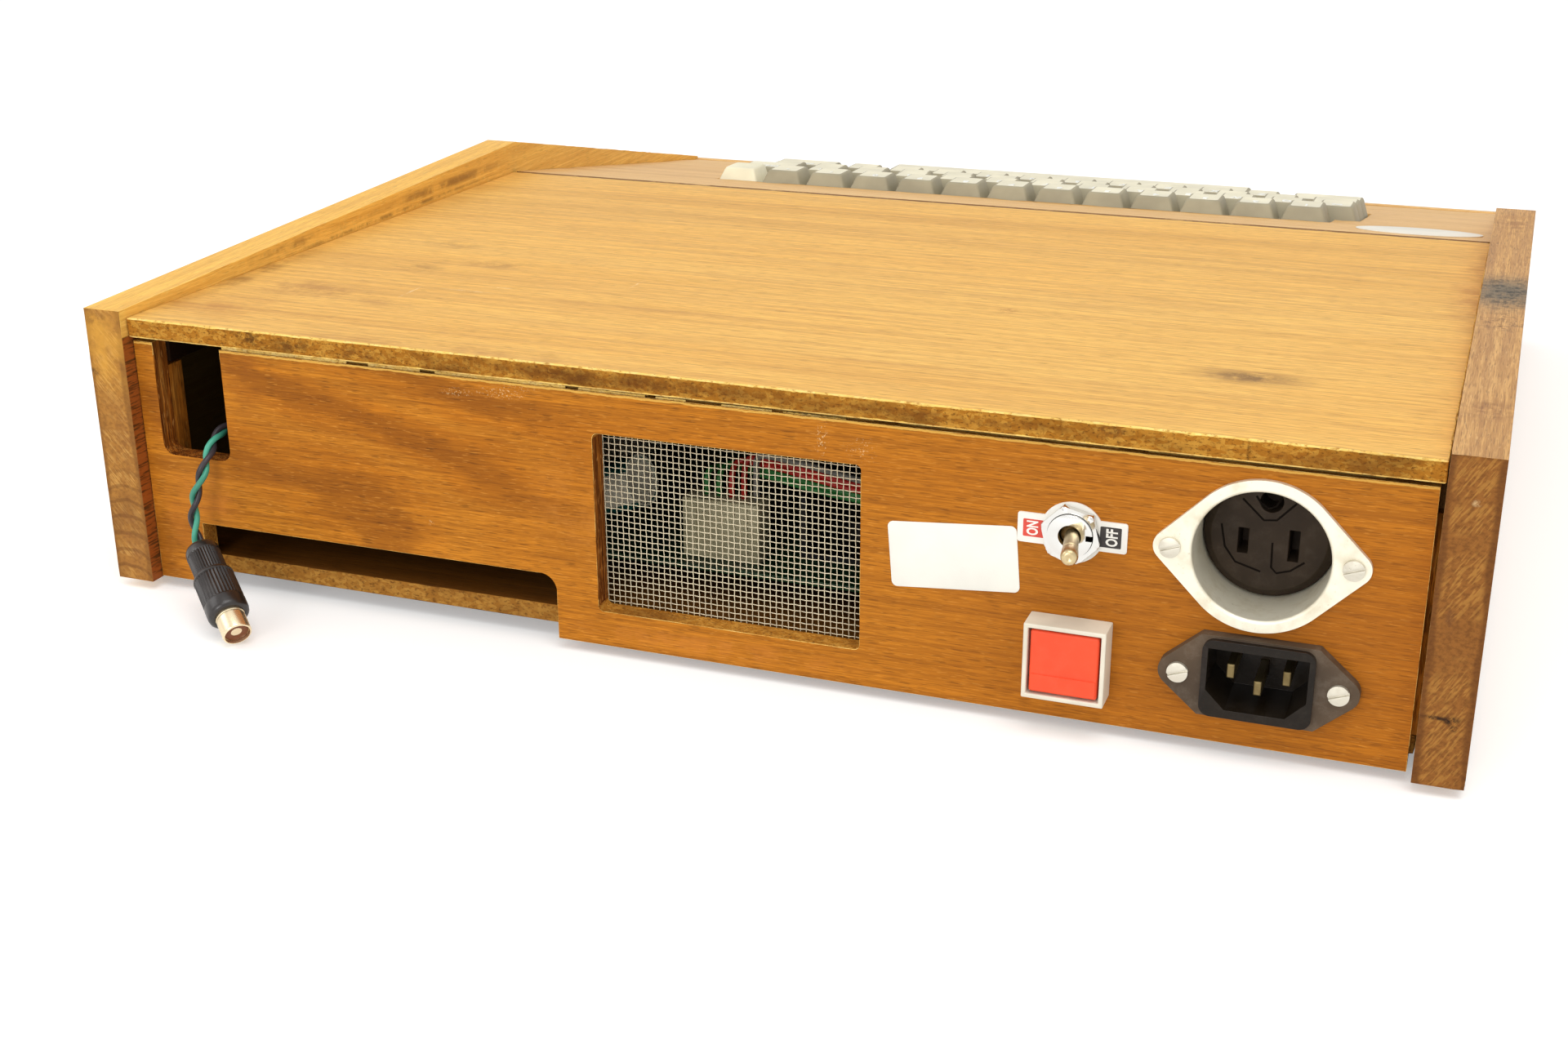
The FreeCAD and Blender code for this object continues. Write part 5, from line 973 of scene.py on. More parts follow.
def softened(node: str, width: float, segments: int = 2, stride: float = 0.0, wear: float = 0.0,
             choose: Callable[[Face], int] | None = None) -> Shape:
    """A copy of a CAD node with rounded and, on request, worn edges.

    Args:
        node: The CAD node.
        width: Width of the rounding in millimetres.
        segments: Steps of the rounding.
        stride: Spacing in millimetres of the points along each edge, or 0 to leave them.
        wear: How far in millimetres the edges are worn away in places.
        choose: Gives each face's material index.

    Returns:
        The softened shape.
    """
    shape = bmesh_of(node)
    bmesh.ops.dissolve_limit(shape, angle_limit=math.radians(1.5), verts=shape.verts, edges=shape.edges)
    if stride:
        for edge in sharp_edges(shape):
            cuts = int(edge.calc_length() / (stride * MM))
            if cuts:
                bmesh.ops.subdivide_edges(shape, edges=[edge], cuts=cuts)
    bmesh.ops.bevel(shape, geom=sharp_edges(shape), offset=width * MM, segments=segments, profile=0.5,
                    affect="EDGES", clamp_overlap=True)
    shape.normal_update()
    if wear:
        wear_edges(shape, wear)
    if choose:
        for face in shape.faces:
            face.material_index = choose(face)
    return shape


def dressed(name: str, node: str, finishes: Sequence[Finish], width: float, segments: int = 2,
            choose: Callable[[Face], int] | None = None, weighed: bool = False) -> bpy.types.Object:
    """Build a piece of the case that is one CAD node with rounded edges.

    Args:
        name: The piece's name.
        node: The CAD node that it stands for.
        finishes: One finish for each material index in use.
        width: Width of the rounding in millimetres.
        segments: Steps of the rounding.
        choose: Gives each face's material index.
        weighed: Whether its large faces are kept flat.

    Returns:
        The new object.
    """
    shape = softened(node, width, segments, choose=choose)
    piece = piece_of(name, shape, finishes, "case", (node,))
    if weighed:
        weigh_normals(piece)
    return piece


def sharp_edges(shape: Shape) -> list[bmesh.types.BMEdge]:
    """Edges between faces that meet at more than 32 degrees.

    Args:
        shape: The shape.

    Returns:
        Its sharp edges.
    """
    return [edge for edge in shape.edges
            if len(edge.link_faces) == 2 and edge.calc_face_angle(0) > SHARP_ANGLE]


# The two noises that knock an edge, in cells per metre, and the largest part of a normal on a rounding.
WEAR_COARSE = 90
WEAR_FINE = 420
ROUNDING_NORMAL = 0.975


def wear_edges(shape: Shape, wear: float) -> None:
    """Push points of the rounded edges in by noise, so that the edges look knocked.

    Args:
        shape: The bevelled shape.
        wear: The deepest nick in millimetres.
    """
    for vertex in shape.verts:
        normal = vertex.normal.copy()
        if max(abs(part) for part in normal) < ROUNDING_NORMAL:
            coarse = noise.noise(vertex.co * WEAR_COARSE)
            fine = noise.noise(vertex.co * WEAR_FINE)
            depth = max(0.0, coarse - 0.05) * 1.2 + max(0.0, fine - 0.25)
            vertex.co -= normal * (wear * MM * depth)


def faces_rear_or_front(face: Face) -> int:
    """1 on faces that look to the rear or the front, otherwise 0."""
    return 1 if abs(face.normal.y) > 0.6 else 0


def add_ring(shape: Shape, points: Iterable[Vector]) -> Ring:
    """Add a closed ring of vertices.

    Args:
        shape: The shape.
        points: The ring's points.

    Returns:
        Its vertices.
    """
    return [shape.verts.new(point) for point in points]


def bridge(shape: Shape, first: Ring, second: Ring,
           material: int = 0) -> None:
    """Join two rings of as many points with quads.

    Args:
        shape: The shape.
        first: One ring.
        second: The next ring.
        material: Material index.
    """
    count = len(first)
    for index in range(count):
        after = (index + 1) % count
        face = shape.faces.new((first[index], first[after], second[after], second[index]))
        face.material_index = material


def cap_ring(shape: Shape, ring: Ring, material: int = 0) -> None:
    """Close a ring with one face.

    Args:
        shape: The shape.
        ring: The ring.
        material: Material index.
    """
    face = shape.faces.new(ring)
    face.material_index = material


def loft(shape: Shape, rings: Sequence[Ring], material: int = 0, looped: bool = False) -> None:
    """Join rings one after the other, and close both ends or lead the last ring back to the first.

    Args:
        shape: The shape.
        rings: The rings.
        material: Material index.
        looped: Whether the last ring leads back to the first.
    """
    for before, after in zip(rings, rings[1:]):
        bridge(shape, before, after, material)
    if looped:
        bridge(shape, rings[-1], rings[0], material)
        return
    for end in (rings[0], rings[-1]):
        cap_ring(shape, end, material)


def inside(point: Vector, low: Vector, high: Vector) -> bool:
    """Whether a point lies between two corners, as seen from the rear.

    Args:
        point: The point.
        low: The lower corner.
        high: The upper corner.

    Returns:
        True if its x and z are between theirs.
    """
    return low.x < point.x < high.x and low.z < point.z < high.z


def square_to(axis: Vector) -> tuple[Vector, Vector]:
    """Two unit directions square to an axis and to each other.

    Args:
        axis: A unit direction.

    Returns:
        The two directions.
    """
    side = Vector((0, 0, 1)) if abs(axis.z) < 0.9 else Vector((1, 0, 0))
    first = axis.cross(side).normalized()
    return first, axis.cross(first).normalized()


def carried(points: Sequence[Vector]) -> Iterable[tuple[Vector, Vector, Vector]]:
    """Carry two square directions along a line without a twist.

    Args:
        points: The line.

    Returns:
        Each point with its two directions.
    """
    normal, _ = square_to((points[1] - points[0]).normalized())
    for index, point in enumerate(points):
        along = (points[min(index + 1, len(points) - 1)] - points[max(index - 1, 0)]).normalized()
        normal = (normal - along * normal.dot(along)).normalized()
        yield point, normal, along.cross(normal)


def round_ring(shape: Shape, centre: Vector, first: Vector, second: Vector,
               radii: Sequence[float]) -> Ring:
    """Add a ring round a centre.

    Args:
        shape: The shape.
        centre: The centre.
        first: The unit direction of the first point.
        second: The unit direction a quarter turn on.
        radii: The radius of each point in millimetres.

    Returns:
        The ring.
    """
    step = 2 * math.pi / len(radii)
    return add_ring(shape, [centre + (first * math.cos(index * step) + second * math.sin(index * step))
                            * (radius * MM) for index, radius in enumerate(radii)])


def turn_on_lathe(shape: Shape, start: Vector, axis: Vector,
                  profile: Sequence[tuple[float, float]], sides: int = 40, material: int = 0,
                  fluted: Sequence[tuple[float, float]] = (), flute: float = 0.0) -> None:
    """Add a turned solid, closed at both ends, with fine flutes along some stretches.

    Args:
        shape: The shape.
        start: Where the profile's zero lies.
        axis: Unit direction of the turning axis.
        profile: Distance along the axis and radius of each ring, in millimetres.
        sides: Points round the axis.
        material: Material index.
        fluted: Stretches, as first and last distance, whose rings have a flute at every fourth point.
        flute: Depth of the flutes in millimetres.
    """
    first, second = square_to(axis)
    rings = []
    for along, radius in profile:
        cut = flute if any(low <= along <= high for low, high in fluted) else 0.0
        radii = [radius - (0.5 * cut if index % 2 else cut if index % 4 == 2 else 0.0)
                 for index in range(sides)]
        rings.append(round_ring(shape, start + axis * (along * MM), first, second, radii))
    loft(shape, rings, material)


def sweep(shape: Shape, points: Sequence[Vector], radius: float, sides: int = 8,
          material: int = 0) -> None:
    """Add a round tube along points, closed at both ends.

    Args:
        shape: The shape.
        points: The tube's centre line.
        radius: Its radius in millimetres.
        sides: Points round it.
        material: Material index.
    """
    loft(shape, [round_ring(shape, point, normal, side, (radius,) * sides)
                 for point, normal, side in carried(points)], material)


def rounded_rectangle(width: float, depth: float, corner: float,
                      steps: int = 4) -> list[tuple[float, float]]:
    """Points of a rectangle with round corners.

    Args:
        width: Size along the first direction.
        depth: Size along the second direction.
        corner: Corner radius.
        steps: Points in each corner.

    Returns:
        The points, counter-clockwise.
    """
    points = []
    for quarter in range(4):
        sign_x = 1 if quarter in (0, 3) else -1
        sign_y = 1 if quarter in (0, 1) else -1
        for step in range(steps):
            angle = math.pi / 2 * (quarter + step / (steps - 1))
            points.append((sign_x * (width / 2 - corner) + corner * math.cos(angle),
                           sign_y * (depth / 2 - corner) + corner * math.sin(angle)))
    return points


# How much bolder the letters are than the font, as a share of their size.
LETTER_WEIGHT = 0.03


def mesh_of(curve: bpy.types.Curve) -> bpy.types.Mesh:
    """Turn a curve or a text into a mesh, and remove it.

    Args:
        curve: The curve or text.

    Returns:
        Its mesh, which the caller removes.
    """
    holder = placed(curve.name, curve)
    bpy.context.view_layer.update()
    mesh = bpy.data.meshes.new_from_object(holder)
    bpy.data.objects.remove(holder)
    bpy.data.curves.remove(curve)
    return mesh


def lettering(shape: Shape, text: str, size: float, place: Matrix, depth: float,
              material: int = 0, box: tuple[float, float] | None = None) -> None:
    """Add raised letters, centred on a place.

    Args:
        shape: The shape.
        text: The letters.
        size: Letter size in millimetres.
        place: Where they lie: letters read along its X, with its Z outwards.
        depth: How far they stand out, in millimetres.
        material: Material index.
        box: Length of the word and height of its letters in millimetres, or None to keep the font's own.
    """
    curve = bpy.data.curves.new("letters", "FONT")
    curve.body = text
    curve.size = size * MM
    curve.align_x = "CENTER"
    curve.align_y = "CENTER"
    curve.extrude = depth * MM
    curve.resolution_u = 3
    curve.offset = LETTER_WEIGHT * size * MM
    mesh = mesh_of(curve)
    if box:
        xs, ys = ([vertex.co[axis] for vertex in mesh.vertices] for axis in (0, 1))
        mesh.transform(Matrix.Translation((-(min(xs) + max(xs)) / 2, -(min(ys) + max(ys)) / 2, 0)))
        wide, tall = max(xs) - min(xs), max(ys) - min(ys)
        mesh.transform(Matrix.Diagonal((box[0] * MM / wide, box[1] * MM / tall, 1, 1)))
    mesh.transform(place)
    known = len(shape.faces)
    shape.from_mesh(mesh)
    shape.faces.ensure_lookup_table()
    for face in shape.faces[known:]:
        face.material_index = material
    bpy.data.meshes.remove(mesh)


@dataclass
class Case:
    """Cheeks, lid, panels and base: boards with knocked edges and their own faces."""

    flat: float = 0.93
    front_edge: float = -243.1
    slot_low: Place = (335.0, 0.0, 30.0)
    slot_high: Place = (400.0, 0.0, 73.0)
    window_low: Place = (140.0, 0.0, 14.0)
    window_high: Place = (232.0, 0.0, 62.0)

    def build(self) -> None:
        """Build and dress every board.

        The three numbers of each are its rounding, the spacing of the points along its edges and the
        depth of its wear, in millimetres.
        """
        for cheek, finishes in (("left_cheek", (LEFT_CHEEK_WOOD, LEFT_END)),
                                ("right_cheek", (RIGHT_CHEEK_WOOD, RIGHT_END))):
            self.board(cheek, cheek + "_board", finishes, 0.7, 3.0, 0.9,
                       faces_rear_or_front)
        self.board("lid", "lid_board", (LID_VENEER, BOARD_EDGE, WORN_EDGE, BOARD_UNDER_SHADE),
                   0.45, 1.6, 0.9, self.lid_face, "lid")
        self.board("rear_panel", "rear_board", (PANEL_VENEER, RAW_EDGE, WORN_EDGE, SLOT_EDGE),
                   0.35, 2.0, 0.6, self.panel_face)
        self.board("base_board", "base_sheet", (BASE_TOP, BASE_EDGE), 0.4, 4.0, 0.6,
                   self.base_face)
        self.board("key_panel", "key_sheet", (KEY_PANEL_VENEER,), 0.3, 4.0, 0.4)
        for node, finish, slot in (("front_board", KEY_PANEL_VENEER, "panel_wood"),
                                   ("front_rail", KEY_PANEL_VENEER, "panel_wood"),
                                   ("corner_battens", BATTEN_WOOD, "raw_wood"),
                                   ("side_cleats", SAWN_PINE, "raw_wood"),
                                   ("key_board_spacers", SAWN_PINE, "raw_wood")):
            self.board(node, node + "_sawn", (finish,), 0.4, 5.0, 0.5)

    def board(self, node: str, name: str, finishes: Sequence[Finish], width: float,
              stride: float, wear: float, choose: Callable[[Face], int] | None = None,
              body: str = "case") -> None:
        """Build one board with rounded, worn edges.

        Args:
            node: Its CAD node.
            name: The piece's name.
            finishes: One finish for each material index.
            width: Width of the rounding in millimetres.
            stride: Spacing of the points along the edges.
            wear: How far the edges are worn away in places.
            choose: Gives each face's material index.
            body: The body it rides on.
        """
        shape = softened(node, width, 2, stride, wear, choose)
        weigh_normals(piece_of(name, shape, finishes, body, (node,)))

    def lid_face(self, face: Face) -> int:
        """The lid's top 0, its sawn edges 1, its corners 2, its underside and front edge 3, darkened as
        painted shade.
        """
        if face.calc_center_median().y < spot(0, self.front_edge, 0).y and face.normal.y < -0.2:
            return 3
        if face.normal.z > self.flat:
            return 0
        if face.normal.z < -self.flat:
            return 3
        return 1 if abs(face.normal.z) < 0.3 else 2

    def panel_face(self, face: Face) -> int:
        """The rear panel's faces 0, its sawn edges 1, their corners 2 and the cable slot's sides 3."""
        if abs(face.normal.y) > self.flat:
            return 0
        centre = face.calc_center_median()
        if inside(centre, spot(*self.slot_low), spot(*self.slot_high)):
            return 3
        if abs(face.normal.x) > 0.8 and inside(centre, spot(*self.window_low), spot(*self.window_high)):
            return 3
        return 1 if abs(face.normal.y) < 0.3 else 2

    def base_face(self, face: Face) -> int:
        """0 on the base board's faces, 1 on its edges."""
        return 0 if abs(face.normal.z) > 0.7 else 1


@dataclass
class TornLip:
    """Torn veneer fibres that stand on the rear panel's top edge, with gaps, in millimetres."""

    start: float = 344.0
    end: float = 150.0
    stride: float = 0.8
    foot: float = 76.2
    back: float = -0.95
    thick: float = 0.45
    tall: float = 1.25
    ragged: float = 0.22
    lowest: float = 0.35
    fade: float = 0.7
    fade_from: float = 250.0
    fade_over: float = 100.0
    uneven: float = 0.1
    gaps: tuple[tuple[float, float], ...] = (
        (294.5, 301.0), (273.0, 277.5), (228.0, 232.0), (205.5, 208.0), (186.0, 196.0), (168.0, 171.0))

    def build(self) -> None:
        """Build the stretches between the gaps."""
        shape = bmesh.new()
        runs: list[list[list[Vector]]] = [[]]
        for index in range(int((self.start - self.end) / self.stride) + 1):
            x = self.start - index * self.stride
            rough = noise.noise(Vector((x * 0.9, 0, 3)))
            tall = self.tall + self.ragged * rough
            tall -= self.fade * max(0.0, (self.fade_from - x) / self.fade_over)
            if tall < self.lowest or any(low < x < high for low, high in self.gaps):
                runs.append([])
                continue
            front = self.back + self.thick + self.uneven * noise.noise(Vector((x * 0.7, 5, 0)))
            ring = ((self.back, 0), (front, 0), (front, tall - self.uneven), (self.back, tall))
            runs[-1].append([spot(x, y, self.foot + z) for y, z in ring])
        for run in runs:
            if len(run) > 1:
                loft(shape, [add_ring(shape, ring) for ring in run])
        piece_of("torn_lip", shape, (LIP_FIBRE,), "case")


@dataclass
class MeshWindow:
    """Woven wire behind the window, in millimetres."""

    left: float = 137.0
    right: float = 233.2
    low: float = 8.1
    high: float = 73.5
    back: float = -6.75
    pitch: float = 1.78
    wire: float = 0.135
    wave: float = 0.17
    sag: float = 0.05

    def build(self) -> None:
        """Weave the mesh and set its staples."""
        shape = bmesh.new()
        columns = int((self.right - self.left) / self.pitch)
        rows = int((self.high - self.low) / self.pitch)
        for column in range(columns + 1):
            points = [self.crossing(column, row, self.over(column + row)) for row in range(rows + 1)]
            sweep(shape, points, self.wire, 6)
        for row in range(rows + 1):
            points = [self.crossing(column, row, -self.over(column + row))
                      for column in range(columns + 1)]
            sweep(shape, points, self.wire, 6)
        piece_of("woven_mesh", shape, (MESH_WIRE,), "case", ("vent_mesh",))
        dressed("bent_staples", "mesh_staples", (SCREW_STEEL,), 0.2)

    def crossing(self, column: int, row: int, out: float) -> Vector:
        """Where two wires cross, a little off the even pitch as in hand-cut cloth.

        Args:
            column: Which upright wire.
            row: Which level wire.
            out: How far the wire stands out there.

        Returns:
            The point.
        """
        x = self.left + column * self.pitch
        z = self.low + row * self.pitch
        drift = noise.noise_vector(Vector((x, 0, z)) * 0.05) * (self.sag * self.pitch * 2)
        return spot(x + drift.x, self.back + out, z + drift.z)

    def over(self, count: int) -> float:
        """How far a wire stands out at a crossing, which turns from one to the next."""
        return self.wave if count % 2 else -self.wave


@dataclass
class Fittings:
    """Mains outlet and inlet, toggle switch and push button on the rear panel, in millimetres."""

    outlet_face: float = -13.0
    inlet_flange: float = 1.6
    inlet_rim: float = 3.3
    inlet_half: tuple[float, float] = (12.6, 8.4)
    grooves: tuple[tuple[tuple[float, float], ...], ...] = (
        ((48.6, 63.1), (43.0, 57.9), (39.8, 58.3), (35.3, 63.3)),
        ((45.3, 64.2), (44.2, 62.6), (41.9, 61.2), (40.2, 62.0), (39.0, 64.4)),
        ((53.4, 55.7), (52.2, 49.7), (49.3, 45.8), (42.8, 43.9)),
        ((40.4, 52.1), (40.2, 45.4), (38.8, 44.0), (35.4, 45.1), (32.1, 47.8)),
    )
    switch_at: Place = (89.0, 0.0, 53.3)
    plate_radius: float = 8.3
    plate_thick: float = 0.5
    plate_half: float = 14.25
    tab_half: float = 4.1
    tab_corner: float = 0.7
    bushing: float = 6.0
    nut_corner: float = 8.08
    nut_thick: float = 2.2
    nut_cone: float = 7.55
    nut_slope: float = 1.6
    nut_turn: float = math.radians(15)
    nut_points: int = 96
    case_front: float = -6.5
    bore: float = 3.25
    bore_end: float = 3.38
    keyway_low: Place = (-5.5, 0.8, -0.9)
    keyway_high: Place = (-3.9, 3.3, 0.9)
    pivot: float = -0.5
    lean: float = 10.0
    ball: float = 3.2
    pin: float = 0.8
    pin_half: float = 4.95
    shank: tuple[tuple[float, float], ...] = (
        (2.6, 1.9), (12.8, 2.0), (13.0, 1.82), (13.4, 1.82), (13.7, 2.12), (17.0, 2.25), (18.0, 2.12),
        (18.5, 1.75), (18.7, 1.2), (18.7, 0.8), (18.5, 0.45), (18.4, 0.1))
    field_wide: float = 5.5
    field_out: float = 10.0
    word_size: float = 4.0
    word_tall: float = 3.1
    ledge_side: float = 0.9
    ledge_tall: float = 4.6
    ledge_corner: float = 0.4
    ledge_up: float = 2.9

    def build(self) -> None:
        """Build every fitting."""
        self.outlet()
        self.inlet()
        self.switch_plate()
        self.nut()
        self.switch()
        self.button()

    def outlet(self) -> None:
        """Cast flange with its cup, and the moulded receptacle with its grooves drawn as near-black
        lines of painted shade.
        """
        dressed("cast_flange", "outlet_flange", (SATIN_CAST,), 0.45, 3, weighed=True)
        shape = softened("outlet_body", 0.25)
        for groove in self.grooves:
            sweep(shape, [spot(x, self.outlet_face - 0.1, z) for x, z in groove], 0.3, 6, 1)
        body = piece_of("receptacle", shape, (BROWN_SOCKET, SOCKET_GROOVE_SHADE), "case",
                        ("outlet_body",))
        weigh_normals(body)
        dressed("flange_screws", "outlet_screws", (SCREW_STEEL,), 0.2)

    def inlet(self) -> None:
        """Moulded inlet with its pins and screws."""
        dressed("inlet_moulding", "inlet_body", (INLET_FLANGE, INLET_RIM, INLET_SOCKET_SHADE),
                0.5, 3, self.inlet_face, True)
        dressed("inlet_blades", "inlet_pins", (BRASS_PIN,), 0.15)
        dressed("ear_screws", "inlet_screws", (SCREW_STEEL,), 0.2)

    def inlet_face(self, face: Face) -> int:
        """The inlet's flange 0, its raised rim 1 and the socket's inside 2, painted darker as shade."""
        low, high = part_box("inlet_body")
        centre = face.calc_center_median()
        if face.normal.y > 0.9 and abs(centre.y - high.y + self.inlet_flange * MM) < 0.3 * MM:
            return 0
        off = centre - (low + high) / 2
        wide, tall = self.inlet_half
        if abs(off.x) < wide * MM and abs(off.z) < tall * MM:
            return 2
        return 1 if centre.y > REAR_Y + self.inlet_rim * MM else 0

    def switch(self) -> None:
        """Switch case with its bushing, and the toggle with its ball, cross pin and dimpled tip."""
        dressed("switch_housing", "switch_body", (BLACK_SWITCH, NICKEL, BORE_BRASS, KEYWAY_SHADE),
                0.15, choose=self.switch_face)
        x, _, z = self.switch_at
        pivot = spot(x, self.pivot, z)
        upright = Vector((0, 0, 1))
        turn = math.radians(self.lean)
        axis = Vector((-math.sin(turn), math.cos(turn), 0))
        shape = bmesh.new()
        profile = [(self.ball * math.cos(angle), self.ball * math.sin(angle))
                   for angle in (math.radians(178 - 20 * step) for step in range(8))]
        turn_on_lathe(shape, pivot, axis, (*profile, *self.shank), 36)
        pin = ((0, self.pin), (2 * self.pin_half, self.pin))
        turn_on_lathe(shape, pivot - upright * (self.pin_half * MM), upright, pin, 16)
        piece_of("switch_toggle", shape, (LEVER_NICKEL,), "switch_lever", ("switch_lever",))

    def switch_face(self, face: Face) -> int:
        """The moulded case 0, its plated bushing 1, the bushing's bore 2 and its keyway 3, painted
        near-black as shade.
        """
        off = (face.calc_center_median() - spot(*self.switch_at)) / MM
        if off.y < self.case_front:
            return 0
        low, high = Vector(self.keyway_low), Vector(self.keyway_high)
        if inside(off, low, high) and low.y < off.y < high.y:
            return 3
        return 2 if math.hypot(off.x, off.z) < self.bore and off.y < self.bore_end else 1

    def nut(self) -> None:
        """Hexagonal nut with turned-off corners."""
        shape = bmesh.new()
        outside = ((0.0, 0.3), (0.25, 0.0), (1.1, 0.0), (1.6, 0.0), (2.0, 0.0), (self.nut_thick, 0.0))
        rings = [self.nut_ring(shape, lift, inset) for lift, inset in outside]
        rings += [self.nut_ring(shape, lift, 0.0, self.bushing) for lift in (self.nut_thick, 0.0)]
        loft(shape, rings, looped=True)
        piece_of("switch_hexagon", shape, (NICKEL,), "case", ("switch_nut",))

    def nut_ring(self, shape: Shape, lift: float, inset: float, bore: float | None = None) -> Ring:
        """Add one ring of the nut: a hexagon cut by the cone of the turned-off corners, or its bore.

        Args:
            shape: The nut's shape.
            lift: Height above the plate.
            inset: How far the ring is drawn in.
            bore: The bore's radius, or None for the outside.

        Returns:
            The ring.
        """
        x, _, z = self.switch_at
        cone = self.nut_cone + (self.nut_thick - lift) * self.nut_slope
        ring = []
        for index in range(self.nut_points):
            angle = self.nut_turn + 2 * math.pi * index / self.nut_points
            side = (index * 6 / self.nut_points) % 1.0
            flat = self.nut_corner * math.cos(math.pi / 6) / math.cos((side - 0.5) * math.pi / 3)
            radius = bore or min(flat, cone) - inset
            ring.append(spot(x + radius * math.cos(angle), self.plate_thick + lift,
                             z + radius * math.sin(angle)))
        return add_ring(shape, ring)

    def plate_outline(self) -> list[tuple[float, float]]:
        """Points round the plate: a disc with a round-cornered tab on each side."""
        meet = math.asin(self.tab_half / self.plate_radius)
        half = []
        for step in range(7):
            angle = -math.pi / 2 + step * (math.pi / 2) / 6
            half.append((self.plate_half - self.tab_corner + self.tab_corner * math.cos(angle),
                         self.tab_corner - self.tab_half + self.tab_corner * math.sin(angle)))
        half += [(x, -z) for x, z in reversed(half)]
        for step in range(25):
            angle = meet + step * (math.pi - 2 * meet) / 24
            half.append((self.plate_radius * math.cos(angle), self.plate_radius * math.sin(angle)))
        return half + [(-x, -z) for x, z in half]

    def switch_plate(self) -> None:
        """Indicator plate: white ground, one red and one black field with their words."""
        x0, _, z0 = self.switch_at
        outline = self.plate_outline()
        hole = []
        for x, z in outline:
            reach = math.hypot(x, z)
            hole.append((x / reach * self.bushing, z / reach * self.bushing))
        shape = bmesh.new()
        thick = self.plate_thick
        loft(shape, [add_ring(shape, [spot(x0 + x * share, lift, z0 + z * share) for x, z in points])
                     for points, lift, share in ((outline, 0.0, 1.0), (outline, thick - 0.12, 1.0),
                                                 (outline, thick, 0.988), (hole, thick, 1.0),
                                                 (hole, 0.0, 1.0))], looped=True)
        upright = Matrix((Vector((0, 0, 1)), Vector((1, 0, 0)), Vector((0, 1, 0)))).transposed().to_4x4()
        for side, material, word, length, tall in ((1, 1, "ON", 3.9, 4.8), (-1, 2, "OFF", 4.7, 5.6)):
            centre = spot(x0 + side * self.field_out, thick, z0)
            ground = rounded_rectangle(self.field_wide * MM, tall * MM, 0.3 * MM)
            loft(shape, [add_ring(shape, [centre + Vector((x, lift * MM, z)) for x, z in ground])
                         for lift in (-0.02, 0.04)], material)
            place = Matrix.Translation(centre + Vector((side * 0.3, 0.05, 0)) * MM) @ upright
            lettering(shape, word, self.word_size, place, 0.03, 0, (length, self.word_tall))
        piece_of("switch_indicator", shape, (PLATE_WHITE, PLATE_RED, PLATE_BLACK), "case",
                 ("switch_plate",))

    def button(self) -> None:
        """Bezel and cap of the push button."""
        dressed("button_frame", "button_bezel", (BEZEL_CREAM, BEZEL_WELL_SHADE), 0.35,
                choose=self.bezel_face, weighed=True)
        shape = softened("button_cap", 0.2)
        low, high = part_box("button_cap")
        outline = rounded_rectangle(high.x - low.x - self.ledge_side * MM, self.ledge_tall * MM,
                                    self.ledge_corner * MM)
        middle = Vector(((low.x + high.x) / 2, high.y, low.z + self.ledge_up * MM))
        loft(shape, [add_ring(shape, [middle + Vector((x * share, lift * MM, z * share))
                                      for x, z in outline])
                     for lift, share in ((-0.3, 1.0), (0.2, 1.0), (0.32, 0.975))])
        weigh_normals(piece_of("push_cap", shape, (BUTTON_RED,), "button_cap",
                               ("button_cap",)))

    def bezel_face(self, face: Face) -> int:
        """1 on the floor of the bezel's well, painted darker as shade, 0 elsewhere."""
        low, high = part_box("button_cap")
        centre = face.calc_center_median()
        margin = Vector((MM, MM, MM))
        return 1 if centre.y < REAR_Y + 2 * MM and inside(centre, low - margin, high + margin) else 0


@dataclass
class Labels:
    """Blank paper label and blank oval badge."""

    def build(self) -> None:
        """Dress both."""
        dressed("paper_label", "blank_label", (LABEL_WHITE,), 0.05)
        dressed("oval_badge", "blank_badge", (BADGE_WHITE,), 0.08)


@dataclass(frozen=True)
class KeyRow:
    """One row of keys: its first key's offset in pitches, and (node, width, legend) of each key."""

    offset: float
    keys: tuple[tuple[str, float, str], ...]


def plain_keys(node: str, legends: str) -> tuple[tuple[str, float, str], ...]:
    """Keys of one pitch, one for each letter.

    Args:
        node: The CAD node they belong to.
        legends: Their letters.

    Returns:
        The keys.
    """
    return tuple((node, 1.0, letter) for letter in legends)


KEY_ROWS = (
    KeyRow(0.5, plain_keys("number_row_keys", "1234567890:-") + (("reset_key", 1.0, ""),)),
    KeyRow(0.0, (("escape_key", 1.0, "ESC"),) + plain_keys("upper_row_keys", "QWERTYUIOP")
           + (("repeat_key", 1.0, "REPT"), ("return_key", 1.5, "RETURN"))),
    KeyRow(0.0, (("control_key", 1.25, "CTRL"),) + plain_keys("home_row_keys", "ASDFGHJKL;<>")),
    KeyRow(0.0, (("left_shift_key", 1.75, "SHIFT"),) + plain_keys("lower_row_keys", "ZXCVBNM,./")
           + (("right_shift_key", 1.75, "SHIFT"),)),
    KeyRow(2.5, (("space_bar", 8.5, ""),)),
)


